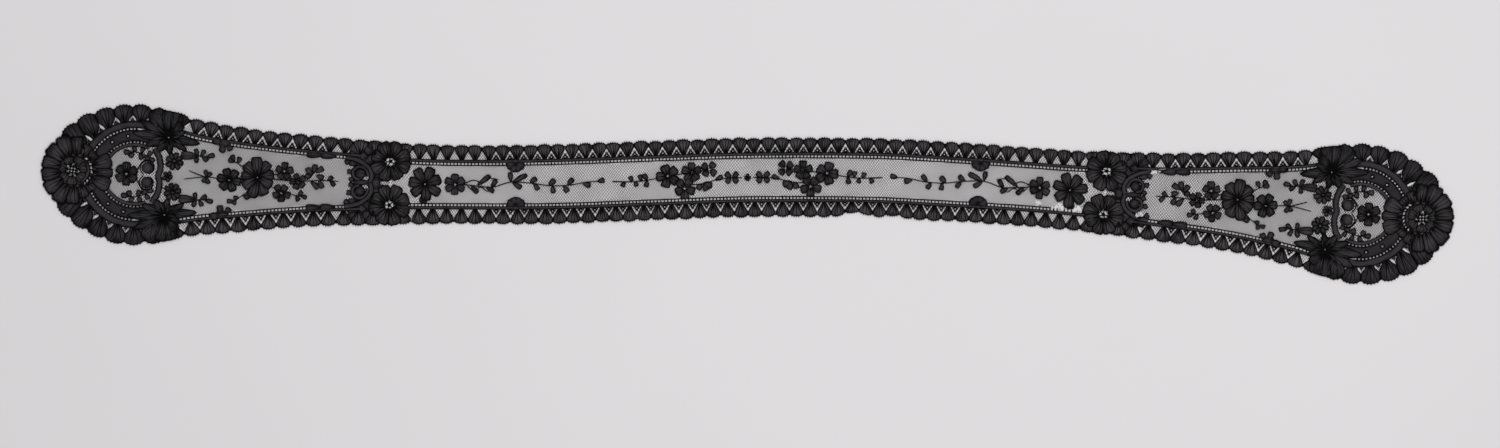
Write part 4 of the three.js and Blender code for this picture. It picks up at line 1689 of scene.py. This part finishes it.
@dataclass
class SprayFlower:
    """The large open flower in the middle of a taper's spray."""

    s: float = 391.8
    t: float = 2.0
    petals: tuple[Petal, ...] = (
        Petal(6, 14.5, 9.2), Petal(47, 16, 9.8), Petal(86, 17.8, 10.6), Petal(126, 16.2, 9.8),
        Petal(168, 14.6, 9.2), Petal(208, 14.2, 9), Petal(247, 16.6, 9.8), Petal(285, 18.2, 10.4),
        Petal(326, 15, 9.4),
    )
    eye: float = 1.1
    ring: float = 0.9
    long: float = 15.0

    def work(self, work: Work) -> None:
        """Works the flower.

        Args:
            work: The piece it belongs to.
        """
        for i, petal in enumerate(self.petals):
            ribs = 2 if petal.to > self.long else 1
            work.petal(self.s, self.t, petal, self.eye, Level.MOTIF + 0.1 * (i % 3), ribs)
        work.ring(self.s, self.t, self.ring, Level.ROSE + 0.3, 0.36)


@dataclass
class JointScroll:
    """The pair of feathered scrolls that close off the net of a taper."""

    spear: Leaf = Leaf(301, 0, 0, 14, 4.8)
    sweep_wide: float = 3.4
    curl_wide: float = 2.4
    sweep: tuple[Point, ...] = ((322, 19.6), (312, 17.6), (304, 12.4), (300.6, 6), (302, 0.4))
    curl: tuple[Point, ...] = (
        (303.4, 5), (305.4, 10.6), (311, 12.6), (315.6, 9), (314.6, 4), (310.6, 2.2),
    )
    disc: Point = (309.8, 6.6)
    radius: float = 4.3
    lobes: tuple[Leaf, ...] = (
        Leaf(302.4, 2.4, 196, 9, 7), Leaf(302, 7, 178, 9.4, 7), Leaf(303.6, 12, 164, 10, 7.4),
        Leaf(307, 15.6, 148, 10, 7.4), Leaf(312, 17.6, 132, 9, 7), Leaf(318, 19, 112, 6.4, 5.6),
        Leaf(305, 19, 172, 12, 8), Leaf(308, 23, 150, 10, 7.4), Leaf(313, 22, 120, 7, 6.4),
        Leaf(312, 14.4, 12, 7, 5), Leaf(318, 17.4, 330, 5, 4.2), Leaf(306, 13, 40, 6, 5),
        Leaf(315.6, 9, 350, 5, 4.2), Leaf(314.6, 4, 322, 5, 4), Leaf(296, 3, 166, 6, 5.4),
        Leaf(298, 27, 182, 9, 7), Leaf(303, 26.6, 100, 6, 6), Leaf(310, 22, 44, 11, 7),
        Leaf(303, 22, 66, 11, 8), Leaf(299, 20, 98, 12, 8), Leaf(313, 17.6, 28, 9, 6),
    )

    def work(self, work: Work) -> None:
        """Works the scrolls.

        Args:
            work: The piece it belongs to.
        """
        work.leaf(self.spear)
        for side in (1, -1):
            for lobe in self.lobes:
                work.leaf(lobe._replace(t=side * lobe.t, angle=side * lobe.angle), Level.CLOTH)
            for line, wide in ((self.sweep, self.sweep_wide), (self.curl, self.curl_wide)):
                work.braid(smooth_line([(s, side * t) for s, t in line]), wide)
            s, t = self.disc
            work.plate(arc(s, side * t, self.radius, 0, 324, 9), Level.MOTIF, 0, 0.2, 0.42)


@dataclass
class Crescent:
    """The plain crescent inside each side of a head, between two rows of eyelets.

    Its bands are pairs of radii, and its rows of eyelets run between pairs of directions. The
    head's own band lies outside it, and carries the lobes.
    """

    s: float = 490.0
    t: float = -2.0
    inner: float = 28.8
    outer: float = 37.4
    start: float = 18.0
    stop: float = 113.0
    columns: int = 20
    inner_band: tuple[float, float] = (24.6, 26.9)
    head_band: tuple[float, float] = (39.4, 44.6)
    head_stop: float = 122.0
    lobe_foot: float = 43.4
    inner_row: tuple[float, float] = (36.0, 101.0)
    outer_row: tuple[float, float] = (28.0, 89.0)
    pitch: float = 2.85
    rings: tuple[int, ...] = (7, 12)
    ring: float = 1.5

    def work(self, work: Work) -> None:
        """Works the crescent.

        Args:
            work: The piece it belongs to.
        """
        s, t, span = self.s, self.t, self.stop - self.start
        bands = (((self.inner, self.outer), Finish.PLAIN), (self.inner_band, Finish.CLOTH))
        for band, finish in bands:
            sides = [arc(s, t, radius, self.start, self.stop, self.columns) for radius in band]
            holes = self.rings if finish is Finish.PLAIN else ()
            work.ribbon(sides[0], sides[1], Level.CLOTH, finish, holes)
            for side in sides:
                work.thread(side, Level.CLOTH + 0.3, 0.42)
        rows = (
            (self.inner_band[1], self.inner, self.inner_row),
            (self.outer, self.head_band[0], self.outer_row),
        )
        for near, far, (first, last) in rows:
            count = round(math.radians(last - first) * near / self.pitch)
            for i in range(count + 1):
                angle = first + (last - first) * i / count
                ends = [polar(s, t, angle, near), polar(s, t, angle, far)]
                work.thread(ends, Level.CLOTH + 0.4, work.chance.uniform(0.6, 0.86))
        for column in self.rings:
            angle = self.start + span * (column + 0.5) / self.columns
            place = polar(s, t, angle, 0.5 * (self.inner + self.outer))
            work.ring(*place, self.ring, Level.CLOTH + 0.4, 0.72)


# ---------------------------------------------------------------- the lappet


@dataclass
class Lappet:
    """The whole lappet.

    Each piece of lace is listed under the length of net that it is worked on.
    """

    strip: Strip = field(default_factory=Strip)
    finishes: Finishes = field(default_factory=Finishes)
    on_middle: tuple[str, ...] = ("vine", "bunch", "joint_blossom", "centre")
    carried: dict[str, list[bpy.types.Object]] = field(default_factory=dict)

    def _piece(
        self,
        node: str,
        worker: Worker,
        end: int = 1,
        side: int = 1,
        slot: Slot = Slot.CLOTHWORK,
        cloth: Silk = Silk.CLOTH,
    ) -> None:
        """Makes the lace that replaces one CAD node.

        Args:
            node: The CAD node.
            worker: Works its stitches.
            end: The end it is mirrored into, 1 or -1.
            side: The side it is mirrored into, 1 or -1.
            slot: Its material slot, which is not used.
            cloth: The silk of its cloth.
        """
        work = Work("lace_" + node, node, self.strip, self.finishes, end, side, slot)
        worker(work)
        middle = node.startswith(self.on_middle)
        net = "net_centre" if middle else "net_" + node.rsplit("_", 1)[-1]
        self.carried.setdefault(net, []).append(work.finish((cloth, Silk.CORD, Silk.PLAIN)))

    def _at_ends(self, name: str, worker: Worker, cloth: Silk = Silk.CLOTH) -> None:
        """Makes a motif of each end.

        Args:
            name: The start of its nodes' names.
            worker: Works its stitches.
            cloth: The silk of its cloth.
        """
        for end in End:
            self._piece(f"{name}_{end.name.lower()}", worker, end.value, cloth=cloth)

    def _at_corners(
        self,
        name: str,
        worker: Worker,
        slot: Slot = Slot.CLOTHWORK,
        cloth: Silk = Silk.CLOTH,
    ) -> None:
        """Makes a motif of each side of each end.

        Args:
            name: The start of its nodes' names.
            worker: Works its stitches.
            slot: Its material slot.
            cloth: The silk of its cloth.
        """
        for side in Side:
            for end in End:
                node = f"{name}_{side.name.lower()}_{end.name.lower()}"
                self._piece(node, worker, end.value, side.value, slot, cloth)

    def motifs(self) -> None:
        """Works the flowers, sprays, scrolls and crescents."""
        end_flower = EndFlower()
        self._at_ends("end_rose", end_flower.work_rose)
        self._at_ends("end_flower", end_flower.work)
        self._at_corners("corner_flower", CornerFlower().work, cloth=Silk.DEEP)
        self._at_corners("joint_flower", JointFlower().work)
        self._at_corners("crescent", Crescent().work)
        self._at_ends("head_blossom", HeadSpray().work)
        self._at_ends("arch", Arch().work, Silk.DEEP)
        self._at_corners("head_sprig", HEAD_SPRIG.work)
        self._at_corners("bud_sprig", BUD_SPRIG.work)

        def spray(work: Work) -> None:
            """Works a taper's spray with its large flower."""
            TAPER_SPRAY.work(work)
            SprayFlower().work(work)

        self._at_ends("taper_spray", spray)
        self._at_ends("joint_scroll", JointScroll().work, Silk.DEEP)
        self._at_ends("joint_blossom", JOINT_BLOSSOM.work)
        self._at_ends("vine", VINE.work)
        self._at_ends("bunch", BUNCH.work)
        bud = Bloom(0, 0, 4, 3, 3.4, 0, 0.4)
        self._piece("centre_bud", lambda work: work.bloom(bud, ribs=0))

    def edgings(self) -> None:
        """Works the fans round the edge and the windows between them."""
        strip = self.strip
        edging = Edging(strip)

        def centre(work: Work) -> None:
            """Works the fans of the middle strip.

            Args:
                work: The piece it belongs to.
            """
            run, joint = strip.centre, strip.joint
            for end in End:
                fans = [(strip.valley(run, i), strip.valley(run, i + 1)) for i in range(run.scallops)]
                fans.append((strip.valley(joint, 0), strip.valley(joint, 1)))
                for fan in fans:
                    edging.fan(work, *sorted(end.value * x for x in fan), run.depth)
                for i in range(0 if end is End.RIGHT else 1, run.scallops + 1):
                    dress = edging.window if i < run.scallops - 5 else edging.net_window
                    dress(work, end.value * strip.valley(run, i))

        def taper(work: Work) -> None:
            """Works the fans of a taper.

            Args:
                work: The piece it belongs to.
            """
            joint, run = strip.joint, strip.taper
            for i in range(1, joint.scallops):
                edging.fan(work, strip.valley(joint, i), strip.valley(joint, i + 1), joint.depth)
            for i in range(run.scallops):
                edging.fan(work, strip.valley(run, i), strip.valley(run, i + 1), run.depth)
            edging.backing(work, strip.valley(joint, 1), strip.valley(run, 0.7))
            for i in range(1, run.scallops + 1):
                dress = edging.window if 2 < i < run.scallops else edging.net_window
                dress(work, strip.valley(run, i), Frame(half=4.0))

        def head(work: Work) -> None:
            """Works the lobes of a head.

            Args:
                work: The piece it belongs to.
            """
            run, lobes, crescent = strip.head, 7, Crescent()
            centre_at = (crescent.s, crescent.t)

            def frame(at: float) -> Frame:
                """The depths of a lobe, which stands on the head's round band."""
                foot = math.dist(strip.inset(at, 0), centre_at) - crescent.lobe_foot
                return Frame(foot=foot, foot_half=3.6, apex=foot - 6.2, half=4.6)

            edging.fan(work, strip.valley(run, 0), strip.valley(run, 1), run.depth)
            for i in range(1, lobes):
                low, high = strip.valley(run, i), strip.valley(run, i + 1)
                edging.fan(work, low, high, run.depth, frame(0.5 * (low + high)))
            for i in range(2, lobes):
                at = strip.valley(run, i)
                edging.closed_window(work, at, frame(at))
            sweep = (crescent.start, crescent.head_stop, 24)
            band = [arc(*centre_at, radius, *sweep) for radius in crescent.head_band]
            work.ribbon(band[0], band[1], Level.CLOTH - 0.1)
            for side in band:
                work.thread(side, Level.CLOTH + 0.2, 0.42)

        for side in Side:
            node = f"edging_{side.name.lower()}_centre"
            self._piece(node, centre, 1, side.value, Slot.EDGING, Silk.FAN)
        self._at_corners("edging", taper, Slot.EDGING, Silk.FAN)
        self._at_corners("head_edging", head, Slot.EDGING, Silk.DEEP)

    def braids(self) -> None:
        """Works the eyelet braids."""
        strip = self.strip
        braid = EyeletBraid(strip)
        knots = (
            Leaf(185.5, 0, 196, 7.4, 6), Leaf(185.5, 0, 240, 6.6, 5.6), Leaf(185.5, 0, 292, 6.6, 5.6),
            Leaf(185.5, 0, 344, 7.4, 6), Leaf(185.5, 0, 90, 4.4, 5.6),
        )
        taper_knots = (
            Leaf(328, 0, 4, 13, 5.4), Leaf(339, 0, 4, 13, 5.8), Leaf(412, 0, 8, 10, 6.4),
            Leaf(419, 0, 18, 8, 6), Leaf(418, 0, 282, 7.4, 5.4), Leaf(415, 0, 236, 6, 5),
        )

        def knot(work: Work, leaf: Leaf, end: int = 1) -> None:
            """Works one of the small knots that ride on the braid.

            Args:
                work: The piece it belongs to.
                leaf: The knot, whose place is on the edge.
                end: The end it is mirrored into, 1 or -1.
            """
            s, t = strip.inset(end * strip.length_at(leaf.s), braid.knots_at)
            angle = leaf.angle if end > 0 else 180 - leaf.angle
            work.leaf(leaf._replace(s=s, t=t, angle=angle))

        def centre(work: Work) -> None:
            """Works the braid of the middle strip.

            Args:
                work: The piece it belongs to.
            """
            braid.lay_along(work, -strip.length_at(274), strip.length_at(274))
            for end in End:
                for leaf in knots:
                    knot(work, leaf, end.value)

        def taper(work: Work) -> None:
            """Works the braid of a taper.

            Args:
                work: The piece it belongs to.
            """
            braid.lay_along(work, strip.length_at(309), strip.length_at(452))
            for leaf in taper_knots:
                knot(work, leaf)

        for side in Side:
            node = f"rail_{side.name.lower()}_centre"
            self._piece(node, centre, 1, side.value, Slot.BRAID, Silk.DEEP)
        self._at_corners("rail", taper, Slot.BRAID, Silk.DEEP)

    def nets(self) -> None:
        net = NetGround(self.strip, self.finishes)
        blooms = [bloom for sprig in (VINE, BUNCH, TAPER_SPRAY) for bloom in sprig.blooms]
        net.openings = [*net.eyes, *((bloom.s, bloom.t, net.eye) for bloom in blooms)]
        seam, far = net.seam, sum(net.head)
        lengths = (("net_left", -far, -seam), ("net_centre", -seam, seam), ("net_right", seam, far))
        for name, start, stop in lengths:
            net.build(name, start, stop)
            net.area(start, stop)
            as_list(self.carried.get(name, []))


# ---------------------------------------------------------------- the studio


class Lamp(NamedTuple):
    """A soft square lamp that shines on the middle of the table: its place, size and power."""

    name: str
    place: tuple[float, float, float]
    size: float
    power: float


@dataclass
class Studio:
    """The pale sheet, the light and the camera, which looks straight down."""

    wide: float = 1.2
    centre: Point = (0.002, -0.0236)
    lens: float = 85.0
    sensor: float = 36.0
    sheet: float = 6.0
    sheet_top: float = -0.0001
    sky: float = 0.51
    lamps: tuple[Lamp, ...] = (
        Lamp("key", (0.35, 0.8, 2.1), 1.4, 19.4),
        Lamp("fill", (0.4, -1.0, 2.2), 1.6, 11.2),
    )

    def table(self) -> None:
        """Lays the pale sheet."""
        bm = bmesh.new()
        bmesh.ops.create_grid(bm, x_segments=4, y_segments=4, size=self.sheet)
        bmesh.ops.translate(bm, verts=bm.verts[:], vec=(0, 0, self.sheet_top))
        into_object(bm, "table", [Paper().make()])

    def light(self) -> None:
        """Hangs two soft lights and an even sky."""
        world = bpy.data.worlds.new("soft_room")
        bpy.context.scene.world = world
        world.use_nodes = True
        background = world.node_tree.nodes["Background"]
        background.inputs["Color"].default_value = (1.0, 0.99, 1.0, 1)
        background.inputs["Strength"].default_value = self.sky
        for lamp in self.lamps:
            data = bpy.data.lights.new(lamp.name, "AREA")
            data.size = lamp.size
            data.energy = lamp.power
            hung = bpy.data.objects.new(lamp.name, data)
            hung.location = lamp.place
            hung.rotation_euler = (-Vector(lamp.place)).to_track_quat("-Z", "Y").to_euler()
            bpy.context.scene.collection.objects.link(hung)

    def camera(self) -> None:
        """Sets the camera."""
        data = bpy.data.cameras.new("camera")
        data.lens, data.sensor_width = self.lens, self.sensor
        data.clip_end = 20.0
        camera = bpy.data.objects.new("camera", data)
        camera.location = (*self.centre, self.wide * self.lens / self.sensor)
        bpy.context.scene.collection.objects.link(camera)
        bpy.context.scene.camera = camera
        bpy.context.scene.view_settings.view_transform = "Standard"


def main() -> None:
    """Builds the lappet and its studio."""
    logging.basicConfig(level=logging.INFO, format="%(message)s")
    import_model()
    studio = Studio()
    studio.camera()
    studio.light()
    studio.table()
    lappet = Lappet()
    lappet.motifs()
    lappet.edgings()
    lappet.braids()
    lappet.nets()


if __name__ == "__main__":
    main()
